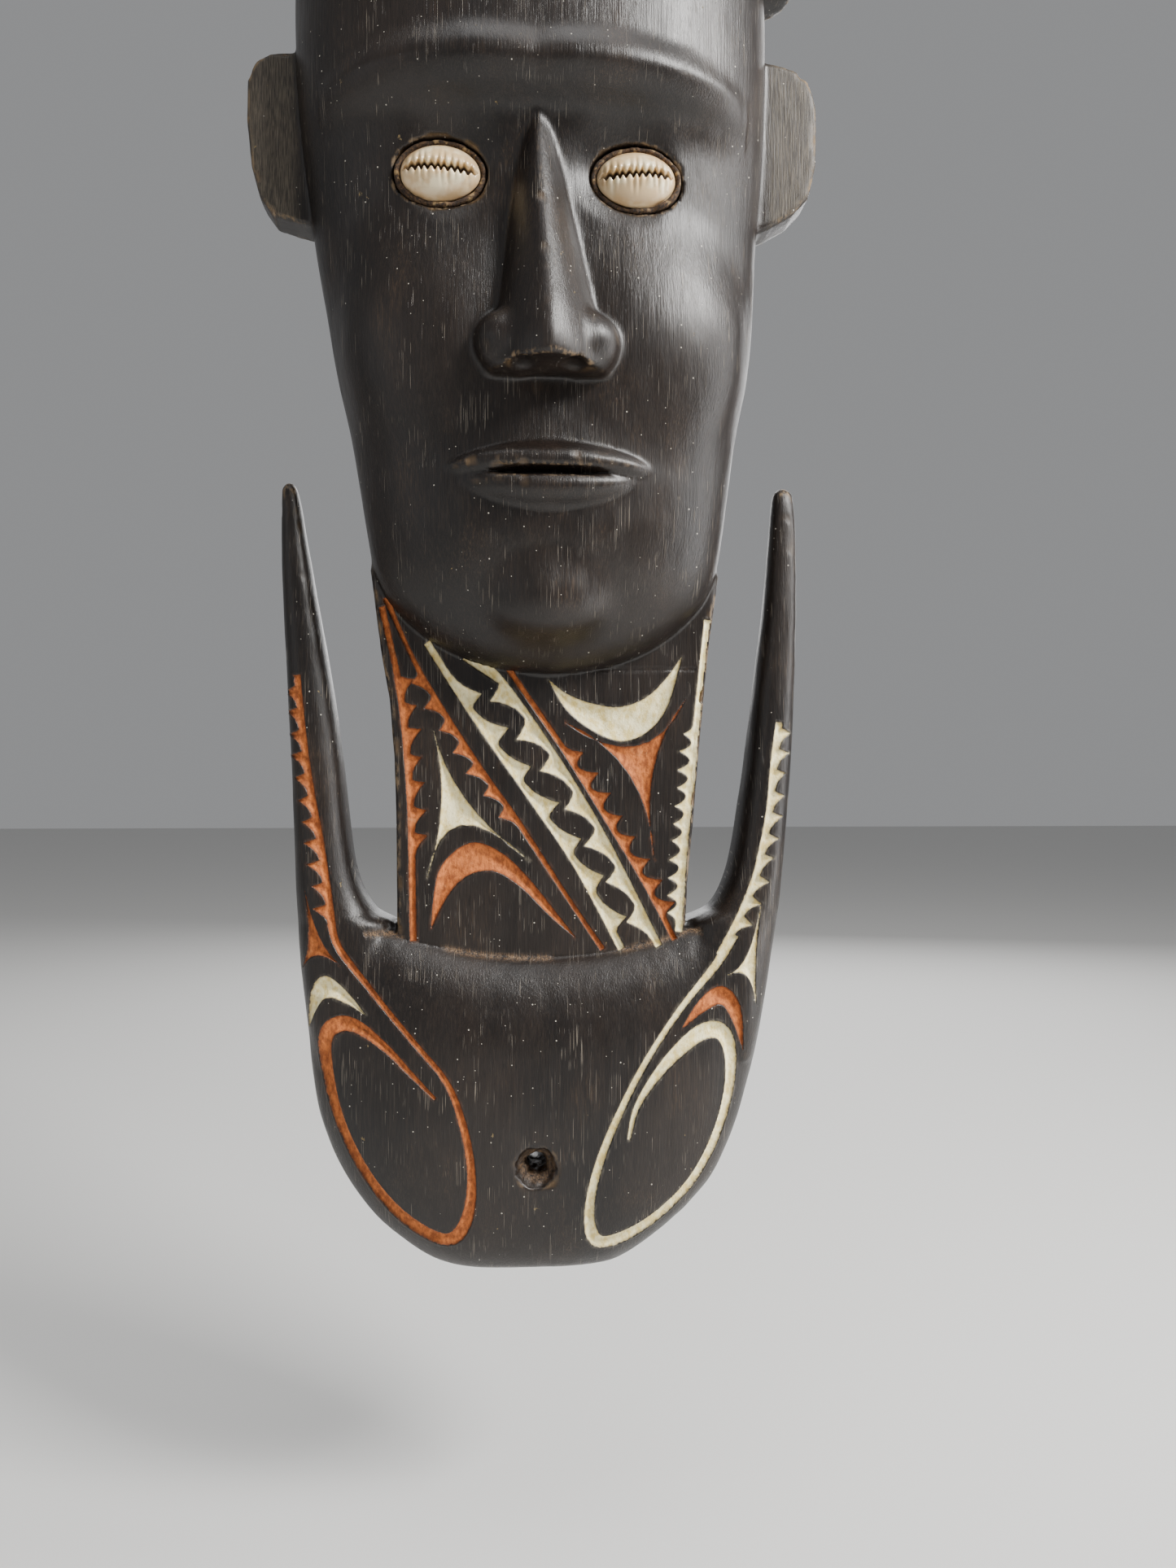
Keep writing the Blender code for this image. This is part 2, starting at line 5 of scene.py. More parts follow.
import bpy
import numpy as np
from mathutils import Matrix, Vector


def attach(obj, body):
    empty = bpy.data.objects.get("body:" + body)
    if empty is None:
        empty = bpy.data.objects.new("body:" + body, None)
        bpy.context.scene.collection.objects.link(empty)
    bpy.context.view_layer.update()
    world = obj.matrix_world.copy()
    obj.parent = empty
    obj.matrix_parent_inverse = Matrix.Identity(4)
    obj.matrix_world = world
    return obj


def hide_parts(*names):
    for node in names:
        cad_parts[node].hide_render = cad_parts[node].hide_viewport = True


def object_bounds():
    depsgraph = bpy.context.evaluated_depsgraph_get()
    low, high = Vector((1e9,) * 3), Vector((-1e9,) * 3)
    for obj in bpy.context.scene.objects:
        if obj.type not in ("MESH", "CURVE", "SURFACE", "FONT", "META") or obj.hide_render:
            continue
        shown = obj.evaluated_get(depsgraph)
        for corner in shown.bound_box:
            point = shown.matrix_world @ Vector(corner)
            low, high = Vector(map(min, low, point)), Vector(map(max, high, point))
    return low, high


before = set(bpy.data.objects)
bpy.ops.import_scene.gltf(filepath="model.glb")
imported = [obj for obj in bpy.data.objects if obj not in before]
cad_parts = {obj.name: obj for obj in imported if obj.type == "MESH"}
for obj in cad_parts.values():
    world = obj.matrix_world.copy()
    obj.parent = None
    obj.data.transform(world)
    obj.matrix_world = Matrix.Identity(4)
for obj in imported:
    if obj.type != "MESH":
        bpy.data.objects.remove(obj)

cad_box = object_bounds()

MM = 0.001
HANG_Z = 36.0  # the hanging hole's height over the level that the tables count from
STEP = 0.7  # grid of the carved skin, mm

# ---- the carving's own dimensions, as in the frame (mm) ----------------------------------
CROWN_Z, CHIN_Z, HAIRLINE_Z = 22.0, -249.0, -10.0
EYE_Z = (CROWN_Z + CHIN_Z) / 2
NOSE_BASE_Z = HAIRLINE_Z - 2 * (HAIRLINE_Z - CHIN_Z) / 3
MOUTH_Z = NOSE_BASE_Z - (NOSE_BASE_Z - CHIN_Z) / 3
EYE_X = 27.0
PANEL_FRONT = 22.0
GROOVE = 1.1
HOOK_HOLE = (0.5, -391.0)

HEAD = (
    (22, 7, 25), (20.5, 19, 31), (17, 32, 37), (11, 44, 43.5), (2, 54, 49.5), (-10, 61, 53.5),
    (-24, 65.5, 56), (-40, 68, 57.6), (-56, 69, 58.6), (-72, 68.8, 59.4), (-82, 68.3, 59.5),
    (-88, 68, 58.8), (-93, 67.7, 56.4), (-98.5, 67.4, 52), (-106, 66.8, 49.8), (-120, 65.4, 48.6),
    (-140, 63.4, 48), (-160, 60.8, 48), (-180, 56.7, 48.5),
    (-196, 54.2, 49), (-208, 52.4, 48.5), (-218, 50.6, 46.5), (-226, 47.4, 43.5),
    (-233, 41.8, 39.5), (-239, 34.6, 35.5), (-243.5, 26.2, 31.5), (-246.5, 17.5, 27.5),
    (-248.4, 8, 23.5),
)
HEAD_LEAN = ((30, -0.5), (-60, -0.5), (-120, 0.8), (-154, 2.6), (-190, 3.2), (-250, 3.8))
LEFT_PRONG = (
    (-191.2, -73.9, -71.6, 11.5, 14.5), (-193.5, -75.0, -70.5, 10, 16), (-207, -75.2, -68, 8.5, 17.5),
    (-225, -74.7, -64.9, 7, 19), (-242, -73.8, -61.8, 5.5, 20), (-259, -73, -59.1, 4, 21),
    (-276, -72.1, -56.9, 2.5, 22), (-290, -71.5, -55.4, 1.5, 22.8), (-304, -71, -53.6, 0.5, 23.6),
    (-312, -70.8, -51.2, -0.5, 24.2), (-318.5, -70.5, -47.1, -1.5, 24.8), (-323, -70.3, -41.5, -2.5, 25.4),
    (-334, -69.4, -41.5, -3.5, 26.5), (-350, -67.4, -46, -4, 27), (-364, -65, -51, -4, 25),
)
RIGHT_PRONG = (
    (-190.4, 74.9, 77.4, 11.5, 14.5), (-192.5, 73.4, 79.2, 10, 16), (-207, 72.2, 80.2, 8.5, 17.5),
    (-225, 70.6, 80.3, 7, 19), (-242, 68.6, 80, 5.5, 20), (-259, 66.6, 79.4, 4, 21),
    (-276, 64.6, 78.4, 2.5, 22), (-290, 62.6, 77.4, 1.5, 22.8), (-304, 60.2, 76.2, 0.5, 23.6),
    (-312, 57.6, 75.4, -0.5, 24.2), (-318.5, 53.4, 74.7, -1.5, 24.8), (-323, 46.4, 74.1, -2.5, 25.4),
    (-334, 45, 72.2, -3.5, 26.5), (-350, 49, 69.6, -4, 27), (-364, 53, 66.6, -4, 25),
)
HOOK = (
    (-323.5, -58, 60, 19.5), (-325.5, -66, 68.5, 22.8), (-328.5, -69, 72.4, 25.2), (-333, -69.4, 72.3, 27.6),
    (-340, -68.6, 71.2, 30.0), (-350, -67.5, 69.6, 32.0), (-362, -66.3, 67.3, 33), (-376, -64.2, 63.6, 33.4),
    (-388, -60.4, 59.5, 33), (-398.5, -55.1, 54.4, 32), (-407.5, -48.5, 47, 30.4), (-415.5, -40, 37.6, 28),
    (-421, -32.4, 30.4, 25), (-424.4, -24.6, 24.2, 21), (-425.6, -20, 19, 16),
)
PANEL = (
    (-44, -204), (-48.1, -218), (-47.1, -226), (-45.2, -241), (-42.6, -257), (-41.2, -273),
    (-40.7, -290), (-40.5, -309), (-40.3, -340), (44, -340), (45.9, -309), (47.6, -290),
    (49.3, -270), (50.6, -256), (52.1, -241), (53.6, -229), (55, -219), (50, -204),
)
LEFT_EAR = (
    (-58, -67.5), (-68.8, -68.6), (-76.3, -69.2), (-80.6, -71.6), (-83, -76), (-83.3, -88.5), (-82, -102),
    (-79.6, -111), (-76, -116), (-70, -117.8), (-58, -120),
)
RIGHT_EAR = (
    (58, -120), (70, -115), (76.8, -111.2), (81.8, -105.7), (84.1, -96), (84.2, -80), (83.3, -75),
    (81.6, -70.8), (78.2, -67.9), (73.4, -66.5), (67.6, -65.6), (58, -64),
)
LUG = [
    (12.0 * math.cos(math.pi * i / 20), HANG_Z + 12.0 * math.sin(math.pi * i / 20)) for i in range(21)
] + [(-13.5, HANG_Z - 14), (-15.5, 0), (15.5, 0), (13.5, HANG_Z - 14)]


# ---- camera, lights, floor ------------------------------------------------------------------
scene = bpy.context.scene
cam_data = bpy.data.cameras.new("camera")
cam_data.sensor_width = 36.0
cam_data.lens = 27.0
cam_data.clip_start = 0.01
cam = bpy.data.objects.new("camera", cam_data)
scene.collection.objects.link(cam)
cam.location = (-8.5 * MM, -370 * MM, (-281.0 - HANG_Z) * MM)
cam.rotation_euler = (math.radians(90), 0, math.radians(-4.0))
scene.camera = cam

world = bpy.data.worlds.new("studio")
scene.world = world
world.use_nodes = True
world.node_tree.nodes["Background"].inputs["Color"].default_value = (0.92, 0.93, 0.95, 1)
world.node_tree.nodes["Background"].inputs["Strength"].default_value = 0.31


def area(name, place, aim, size, power, colour=(1, 1, 1), tall=None):
    data = bpy.data.lights.new(name, "AREA")
    data.shape = "RECTANGLE"
    data.size = size
    data.size_y = tall or size
    data.energy = power
    data.color = colour
    ob = bpy.data.objects.new(name, data)
    scene.collection.objects.link(ob)
    ob.location = place
    from mathutils import Vector

    ob.rotation_euler = (Vector(aim) - Vector(place)).to_track_quat("-Z", "Y").to_euler()
    return ob


area("key", (0.74, -0.62, 0.46), (0.0, 0.0, -0.15), 0.36, 27.0, (1.0, 0.985, 0.96))
area("right_strip", (0.85, -0.15, -0.10), (0.0, 0.0, -0.15), 0.25, 7.0, (1.0, 0.99, 0.98), 0.9)
area("top", (0.05, -0.35, 0.75), (0.0, 0.0, -0.15), 0.6, 3.6)
area("left_fill", (-0.9, -0.7, -0.1), (0.0, 0.0, -0.2), 0.8, 1.2, (0.97, 0.98, 1.0))
area("back_fill", (0.3, 1.1, 0.3), (0.0, 0.0, -0.2), 1.0, 12.0)

floor_mesh = bpy.data.meshes.new("floor")
floor_z = cad_box[0][2] - 0.09
floor_mesh.from_pydata(
    [(-6, -6, floor_z), (6, -6, floor_z), (6, 6, floor_z), (-6, 6, floor_z)], [], [(0, 1, 2, 3)]
)
floor = bpy.data.objects.new("floor", floor_mesh)
scene.collection.objects.link(floor)
floor_mat = bpy.data.materials.new("pale_floor")
floor_mat.use_nodes = True
floor_node = floor_mat.node_tree.nodes["Principled BSDF"]
floor_node.inputs["Base Color"].default_value = (0.66, 0.655, 0.64, 1)
floor_node.inputs["Roughness"].default_value = 0.85
floor_mesh.materials.append(floor_mat)


# ---- maths -------------------------------------------------------------------------------------
def curve_of(table, column, power=1.0):
    """A smooth rule through a height table, without overshoot (monotone cubic)."""
    rows = sorted(table)
    z = np.array([r[0] for r in rows], float)
    v = np.array([r[column] for r in rows], float)
    v = np.sign(v) * np.abs(v) ** power
    dz = np.diff(z)
    slope = np.diff(v) / dz
    m = np.zeros(len(z))
    m[0], m[-1] = slope[0], slope[-1]
    for i in range(1, len(z) - 1):
        if slope[i - 1] * slope[i] > 0:
            w1, w2 = 2 * dz[i] + dz[i - 1], dz[i] + 2 * dz[i - 1]
            m[i] = (w1 + w2) / (w1 / slope[i - 1] + w2 / slope[i])

    def rule(at):
        at = np.clip(at, z[0], z[-1])
        i = np.clip(np.searchsorted(z, at) - 1, 0, len(z) - 2)
        t = (at - z[i]) / dz[i]
        out = (
            (2 * t**3 - 3 * t**2 + 1) * v[i]
            + (t**3 - 2 * t**2 + t) * dz[i] * m[i]
            + (-2 * t**3 + 3 * t**2) * v[i + 1]
            + (t**3 - t**2) * dz[i] * m[i + 1]
        )
        return (np.sign(out) * np.abs(out) ** (1 / power)).astype(np.float32)

    return rule


def smin(a, b, k):
    t = np.clip(0.5 + 0.5 * (b - a) / k, 0, 1)
    return b + (a - b) * t - k * t * (1 - t)


def smax(a, b, k):
    return -smin(-a, -b, k)


def smoothstep(low, high, v):
    t = np.clip((v - low) / (high - low), 0, 1)
    return t * t * (3 - 2 * t)


def rounded(dx, dh, a, front, back, p_front, p_back):
    """Distance along the ray to a rounded section."""
    up = dh > 0
    r = np.where(up, front, back)
    u, v = np.abs(dx / a), np.abs(dh / r)
    q = np.where(
        up,
        (u**p_front + v**p_front) ** (1 / p_front),
        (u**p_back + v**p_back) ** (1 / p_back),
    )
    rho = np.sqrt(dx * dx + dh * dh)
    return rho * (1 - 1 / np.maximum(q, 1e-3))


def ball(x, h, z, centre, radii):
    dx, dh, dz = x - centre[0], h - centre[1], z - centre[2]
    q = np.sqrt((dx / radii[0]) ** 2 + (dh / radii[1]) ** 2 + (dz / radii[2]) ** 2)
    rho = np.sqrt(dx * dx + dh * dh + dz * dz)
    return rho * (1 - 1 / np.maximum(q, 1e-3))


def outline_distance(px, pz, outline):
    """Signed distance to a closed outline, negative inside."""
    pts = np.array(outline, float)
    best = np.full(px.shape, 1e9)
    inside = np.zeros(px.shape, bool)
    for (x0, z0), (x1, z1) in zip(pts, np.roll(pts, -1, axis=0)):
        ex, ez = x1 - x0, z1 - z0
        wx, wz = px - x0, pz - z0
        t = np.clip((wx * ex + wz * ez) / max(ex * ex + ez * ez, 1e-9), 0, 1)
        best = np.minimum(best, (wx - ex * t) ** 2 + (wz - ez * t) ** 2)
        crosses = (z0 > pz) != (z1 > pz)
        if z1 != z0:
            inside ^= crosses & (px < (x1 - x0) * (pz - z0) / (z1 - z0) + x0)
    best = np.sqrt(best)
    return np.where(inside, -best, best)


def lattice_noise(p, size, seed):
    """Smooth noise from -1 to 1 at points p (n by 3), with cells of the given size along each axis."""
    rng = np.random.default_rng(seed)
    q = p / np.asarray(size, float)
    q = q - np.floor(q.min(axis=0))
    base = np.floor(q).astype(int)
    f = q - base
    f = f * f * f * (f * (6 * f - 15) + 10)
    n = base.max(axis=0) + 2
    grid = rng.uniform(-1, 1, tuple(n)).astype(np.float32)
    out = 0
    for a in (0, 1):
        wa = f[:, 0] if a else 1 - f[:, 0]
        for b in (0, 1):
            wb = f[:, 1] if b else 1 - f[:, 1]
            for c in (0, 1):
                wc = f[:, 2] if c else 1 - f[:, 2]
                out = out + grid[base[:, 0] + a, base[:, 1] + b, base[:, 2] + c] * wa * wb * wc
    return out


# ---- ornament outlines (same rules as the frame's grooves, drawn finer) --------------------------
def smooth(points, per=4):
    n = len(points)
    out = []
    for i in range(n - 1):
        p = [points[min(max(i + k, 0), n - 1)] for k in (-1, 0, 1, 2)]
        for s in range(per):
            t = s / per
            out.append(
                tuple(
                    0.5
                    * (2 * b + (c - a) * t + (2 * a - 5 * b + 4 * c - d) * t * t + (3 * b - a - 3 * c + d) * t**3)
                    for a, b, c, d in zip(*p)
                )
            )
    out.append(tuple(points[-1]))
    return out


def normals(path):
    out = []
    for i in range(len(path)):
        a, b = path[max(i - 1, 0)], path[min(i + 1, len(path) - 1)]
        dx, dz = b[0] - a[0], b[1] - a[1]
        length = math.hypot(dx, dz) or 1.0
        out.append((-dz / length, dx / length))
    return out


def along(path, s):
    lengths = [math.dist(a, b) for a, b in zip(path, path[1:])]
    want = s * sum(lengths)
    for i, step in enumerate(lengths):
        if want <= step or i == len(lengths) - 1:
            k = min(want / step, 1.0)
            (x0, z0), (x1, z1) = path[i], path[i + 1]
            return (x0 + k * (x1 - x0), z0 + k * (z1 - z0)), ((z0 - z1) / step, (x1 - x0) / step)
        want -= step
    return path[-1], (0.0, 0.0)


def toothed(points, width, teeth, reach, first=0.0, last=1.0, side=1, lean=0.65):
    """A cut line with a row of thorns on one side; their flanks are hollow."""
    path = smooth(points, 4)
    back = [(x - side * nx * width / 2, z - side * nz * width / 2) for (x, z), (nx, nz) in zip(path, normals(path))]
    front = []
    marks = [(0.0, 0.5)]
    step = (last - first) / teeth
    rng = np.random.default_rng(int(abs(points[0][0] * 10)) + teeth)
    for i in range(teeth):
        s = first + i * step
        tall = reach * (1 + 0.14 * rng.uniform(-1, 1))
        tip = lean + 0.06 * rng.uniform(-1, 1)
        marks.append((s + 0.02 * step, 0.5))
        late = tip > 0.5
        for k in (0.3, 0.55, 0.8) if late else (0.4, 0.75):
            marks.append((s + tip * step * k, 0.5 + tall / width * k**1.9))
        marks.append((s + tip * step, 0.5 + tall / width))
        for k in (0.25, 0.6) if late else (0.2, 0.45, 0.7):
            marks.append((s + (tip + k * (0.94 - tip)) * step, 0.5 + tall / width * (1 - k) ** 1.9))
        marks.append((s + 0.94 * step, 0.5))
    marks.append((1.0, 0.5))
    for s, w in marks:
        (x, z), (nx, nz) = along(path, min(s, 1.0))
        point = (x + side * nx * width * w, z + side * nz * width * w)
        if not front or math.dist(point, front[-1]) > 0.1:
            front.append(point)
    return back + front[::-1]


def stroke(rows, per=4):
    path = smooth(rows, per)
    sides = normals([(x, z) for x, z, w in path])
    left = [(x + nx * w / 2, z + nz * w / 2) for (x, z, w), (nx, nz) in zip(path, sides)]
    right = [(x - nx * w / 2, z - nz * w / 2) for (x, z, w), (nx, nz) in zip(path, sides)]
    return left + right[::-1]


def crescent(outer, inner, per=4):
    a = smooth(outer, per)
    b = smooth([outer[0]] + list(inner) + [outer[-1]], per)
    return a + b[1:-1][::-1]


def star(tips, centre, waist, per=8):
    out = []
    for i in range(3):
        a, b = tips[i], tips[(i + 1) % 3]
        mx, mz = (a[0] + b[0]) / 2 - centre[0], (a[1] + b[1]) / 2 - centre[1]
        length = math.hypot(mx, mz)
        c = (centre[0] + mx / length * waist, centre[1] + mz / length * waist)
        for s in range(per):
            t = s / per
            out.append(
                tuple(
                    (1 - t) ** 2 * p + 2 * t * (1 - t) * (2 * q - (p + r) / 2) * 0.5
                    + 2 * t * (1 - t) * q * 0.5 + t * t * r
                    for p, q, r in zip(a, c, b)
                )
            )
    return out


OCHRE_PANEL = [
    toothed([(-44.8, -229), (-41.2, -244), (-38.6, -260), (-37.2, -275), (-36.2, -292), (-35.6, -327)],
            1.9, 7, 3.7, 0.2106, 0.754, side=1, lean=0.16),
    toothed([(-43.6, -226.5), (-36.4, -243), (-28.4, -257), (-16.3, -276), (-4.6, -292.6), (10.8, -316.5), (20.2, -330)],
            1.5, 7, 3.5, 0.195, 0.64, side=-1, lean=0.22),
    toothed([(-8.0, -246.5), (8.7, -270.7), (22.2, -292.5), (33, -310.5), (41.6, -327.2)],
            1.5, 8, 4.0, 0.30, 0.93, side=1, lean=0.62),
    star([(8.8, -262.6), (45.0, -255.8), (35.6, -303.6)], (31.8, -275.2), 2.0),
    crescent([(-30.4, -323.6), (-28.8, -309), (-24.6, -301.8), (-17.5, -298.2), (-9.1, -301.8), (-1.7, -309), (5.5, -318), (12.2, -326.6)],
             [(-26.6, -315.6), (-22.5, -310), (-17.5, -307), (-11.3, -306.8), (-3.8, -311.5), (4, -319.4)]),
]
CREAM_PANEL = [
    toothed([(-31.6, -239.5), (-18.4, -260), (-1.7, -284), (12.8, -305.5), (25.8, -330)],
            1.9, 7, 4.7, 0.1025, 0.9586, side=1, lean=0.74),
    toothed([(-20.8, -243.5), (-15.0, -245.8), (-7.5, -253.4), (8.7, -277), (22.2, -300), (36.8, -329)],
            1.9, 7, 4.9, 0.1275, 0.99, side=-1, lean=0.26),
    crescent([(4.2, -250.2), (9.4, -258.8), (17.1, -265.0), (25.6, -268.2), (33.6, -265.4), (39.6, -257.6), (43.8, -243.2)],
             [(9.6, -254.4), (17.1, -257.2), (25.4, -258.2), (33.4, -255.2), (39.4, -249.4)]),
    toothed([(51.8, -232), (49.2, -256), (46.8, -280), (44.6, -300), (43.0, -325)],
            2.2, 11, 3.0, 0.34, 0.97, side=-1, lean=0.55),
    star([(-29.7, -265.2), (-1.6, -303.6), (-31.6, -308.6)], (-24.0, -286.6), 2.2),
]
OCHRE_HOOK = [
    toothed([(-69.6, -249), (-67.6, -267.5), (-65.2, -283), (-62.6, -296.4), (-60.6, -308.8), (-58.4, -323.5)],
            2.0, 11, 3.6, 0.04, 0.98, side=-1, lean=0.14),
    star([(-67.0, -311.5), (-67.8, -334.6), (-56.0, -333.4)], (-64.0, -327.5), 2.0),
    stroke([(-58.9, -321.5, 2.2), (-56.4, -328.8, 1.9), (-46.8, -341, 1.5), (-34.5, -355.2, 1.4), (-25.5, -366, 1.6), (-20.8, -378, 2.0),
            (-18.3, -392, 2.2), (-19.3, -405, 3.2), (-23.9, -412.6, 3.9), (-31.5, -411.0, 3.6), (-41.5, -403.0, 3.2),
            (-50.3, -391.0, 2.8), (-56.8, -377, 2.8), (-60.2, -363, 3.4), (-60.4, -354, 4.2), (-56.6, -350.2, 4.6),
            (-50.3, -351.2, 3.4), (-42, -357.3, 2.0), (-34.8, -364.6, 1.3), (-28.6, -370.8, 0.7)]),
    crescent([(42.6, -352.4), (48.4, -344.2), (55.2, -340.6), (60.4, -346.4), (61.6, -359.6)],
             [(49.2, -347.8), (54.8, -345.8), (58.2, -350.6)]),
]
CREAM_HOOK = [
    crescent([(-66.0, -352.0), (-64.8, -341), (-61.1, -336.6), (-56.2, -339.0), (-48.8, -347.4)],
             [(-62.8, -345.2), (-59.8, -342.6), (-55.6, -343.6)]),
    toothed([(73.6, -262.5), (71.8, -275), (70.4, -288.5), (68.3, -299), (65.6, -309.5), (61.2, -319.6), (54.6, -331.5)],
            2.0, 10, 3.3, 0.02, 0.90, side=1, lean=0.14),
    star([(67.4, -316.5), (56.8, -337.4), (65.6, -346)], (64.0, -334.6), 2.0),
    stroke([(58.8, -325.5, 3.0), (53.2, -334.6, 2.2), (42.5, -346.5, 1.6), (32.4, -360.6, 1.6), (24.0, -376.2, 1.8), (18.0, -391.5, 2.2),
            (15.6, -405, 2.6), (17.9, -414.3, 3.8), (25.8, -413.8, 3.6), (36, -407.8, 2.8), (45.6, -398.6, 2.6),
            (53, -386, 2.6), (57.2, -372, 2.8), (57.6, -360, 3.6), (54.4, -353.6, 4.6), (48.2, -353.8, 4.6),
            (40.2, -359.8, 3.4), (33.4, -367.5, 2.2), (28.8, -375.4, 1.4), (26.9, -383.6, 0.8)]),
]


# ---- the carved form as a field: negative inside the wood ----------------------------------------
lean = curve_of(HEAD_LEAN, 1)
head_a = curve_of(HEAD, 1, 2.0)
head_f = curve_of(HEAD, 2)
hook_l, hook_r, hook_f = (curve_of(HOOK, c) for c in (1, 2, 3))
prongs = [[curve_of(t, c) for c in (1, 2, 3, 4)] + [t] for t in (LEFT_PRONG, RIGHT_PRONG)]
NOSE = (
    (-94, 3.6, 50.5), (-104, 5.2, 53), (-118, 7.2, 56.6), (-134, 9.4, 60.4), (-148, 11.6, 63.8),
    (-158, 13.4, 66.2), (-165, 14.6, 67.0), (-172, 15.0, 66.4),
)
nose_w, nose_f = curve_of(NOSE, 1), curve_of(NOSE, 2)


def wood_field(x, h, z, flat):
    """x (n,1,1), h (1,m,1), z (1,1,k); flat(outline) gives its distance over x and z."""
    zs = z.ravel()
    d = np.full(np.broadcast_shapes(x.shape, h.shape, z.shape), 30.0, np.float32)

    def add(part, k):
        nonlocal d
        d = smin(d, part, k)

    def cut(part, k):
        nonlocal d
        d = smax(d, -part, k)

    low, high = zs.min(), zs.max()
    if high > CHIN_Z - 4:
        a, f, c = head_a(z), head_f(z), lean(z)
        middle = np.minimum(19.0, f - 9.0)
        head = rounded(x - c, h - middle, a, f - middle, middle + 5, 2.3, 3.4)
        head = smax(head, np.maximum(z - CROWN_Z, CHIN_Z + 0.5 - z) * np.ones_like(head), 1.5)
        d = head
        s = x - c
        m = np.abs(s)
        if high > -46 and low < -16:
            tilted = z + 0.026 * x
            band = rounded(x - c, h - middle, a + 11.6, f - middle + 3.2, middle + 5, 2.3, 3.4)
            add(smax(band, np.abs(tilted + 30.45) - 8.45, 2.4), 0.8)
        if low < -80 and high > -260:
            # brow, cheeks and chin, mirrored about the middle
            arch = z - (EYE_Z + 24.5) + 0.0030 * (m - 18) ** 2
            swell = np.sqrt(np.maximum(0.0, 1 - ((m - 24) / 34) ** 2))
            brow = np.sqrt((d + 2.2) ** 2 + (0.8 * arch) ** 2) - (2.0 + 2.9 * swell)
            brow = np.where((h > 20) & (m < 60), brow, 30.0)
            add(brow, 5.0)
            add(ball(m, h, z, (29, 36, EYE_Z - 42), (24, 12.6, 30)), 13.0)
            add(ball(s, h, z, (0, 38, CHIN_Z + 20), (15, 9.2, 10)), 8.0)
            cut(ball(m, h, z, (EYE_X, 58.0, EYE_Z), (24.5, 13.6, 18.0)), 2.5)
            nose = rounded(s, h - 42.0, nose_w(z) * 1.20, nose_f(z) - 42.0, 8.0, 1.65, 2.0)
            add(smax(nose, (NOSE_BASE_Z - z) * np.ones_like(nose), 1.6), 1.8)
            wing = ball(m, h, z, (11.0, 51.5, NOSE_BASE_Z + 7.5), (8.6, 8.2, 8.6))
            add(smax(wing, (NOSE_BASE_Z - z) * np.ones_like(wing), 1.4), 2.6)
            cut(ball(m, h, z, (6.4, 58.0, NOSE_BASE_Z - 0.8), (3.6, 4.6, 2.6)), 1.2)
            # upper and lower lip with a slit between
            add(ball(s, h, z + 0.002 * s * s, (0, 44.8, MOUTH_Z + 3.4), (27.5, 8.2, 5.4)), 2.2)
            add(ball(s, h, z - 0.004 * s * s, (0, 44.2, MOUTH_Z - 4.0), (24, 9.2, 6.0)), 2.2)
            cut(ball(s, h, z, (0, 54.5, MOUTH_Z), (24, 7.2, 1.25)), 0.7)
            # socket of each eye
            u = np.sqrt(((m - EYE_X) / 13.0) ** 2 + ((z - EYE_Z) / 9.6) ** 2)
            cut(np.maximum((u - 1.0) * 10.8, 38.5 - h), 0.5)
        for ear in (LEFT_EAR, RIGHT_EAR):
            if high > -128 and low < -60:
                bend = 0.5 * np.sin(z * 0.05)
                add(smax(flat(ear), np.abs(h - 18.0 - bend) - 6.0, 1.5), 1.0)
        if high > -10:
            lug = smax(flat(LUG), np.maximum(h - 14.0, -4 - h) * np.ones_like(d), 3.4)
            lug = smax(lug, 4.0 - np.sqrt(x * x + (z - HANG_Z) ** 2), 1.2)
            add(lug, 3.0)
            cut(np.sqrt(x * x + (z - HANG_Z) ** 2) - 4.0 + 0 * h, 0.8)
    if high > -345 and low < -200:
        add(smax(flat(PANEL), np.maximum(h - PANEL_FRONT, -4 - h) * np.ones_like(d), 1.6), 0.9)
    if low < -186:
        lower = None
        if low < -318:
            # the ledge over the hook dips at its middle
            dip = np.maximum(0.0, 1 - ((x - 2) / 44) ** 2)
            zz = z + np.zeros_like(x)
            for _ in range(4):
                zz = z + 8.0 * np.clip((zz + 356.0) / 32.5, 0, 1) * dip
            l, r, f = hook_l(zz), hook_r(zz), hook_f(zz)
            lower = rounded(x - (l + r) / 2, h - 12.0, (r - l) / 2, f - 12.0, 17.0, 2.8, 3.4)
            lower = smax(lower, np.maximum(zz - HOOK[0][0], HOOK[-1][0] - zz) * np.ones_like(lower), 3.0)
        if high > -370:
            for xa, xb, hb, hf, table in prongs:
                a0, a1 = xa(z), xb(z)
                b0, b1 = hb(z), hf(z)
                dh = h - (b0 + b1) / 2
                r = (b1 - b0) / 2
                piece = rounded(x - (a0 + a1) / 2, dh, np.abs(a1 - a0) / 2, r, r, 2.4, 2.4)
                top, bottom = table[0][0], table[-1][0]
                piece = smax(piece, np.maximum(z - top, bottom - z) * np.ones_like(piece), 1.2)
                if lower is None:
                    lower = piece
                else:  # a hollow fillet on the inner side, flush outside
                    k = 0.6 + 4.8 * smoothstep(65, 55, np.abs(x)) * smoothstep(-350, -330, z)
                    lower = smin(lower, piece, k)
        add(lower, 1.0)
    if low < -318:
        hx, hz = HOOK_HOLE
        rho = np.sqrt((x - hx) ** 2 + (z - hz) ** 2)
        cut(rho - 3.1 + 0 * h, 0.5)
        cut(ball(x, h, z, (hx - 0.3, 34.0, hz - 0.5), (6.4, 5.6, 6.3)), 0.7)
    if high > -206 and low < -18:
        cut(ball(x, h, z, (1.4, -3.0, -112.0), (47, 29, 90)), 1.0)
    d = smax(d, -h * np.ones_like(d), 1.0)
    return d.astype(np.float32)


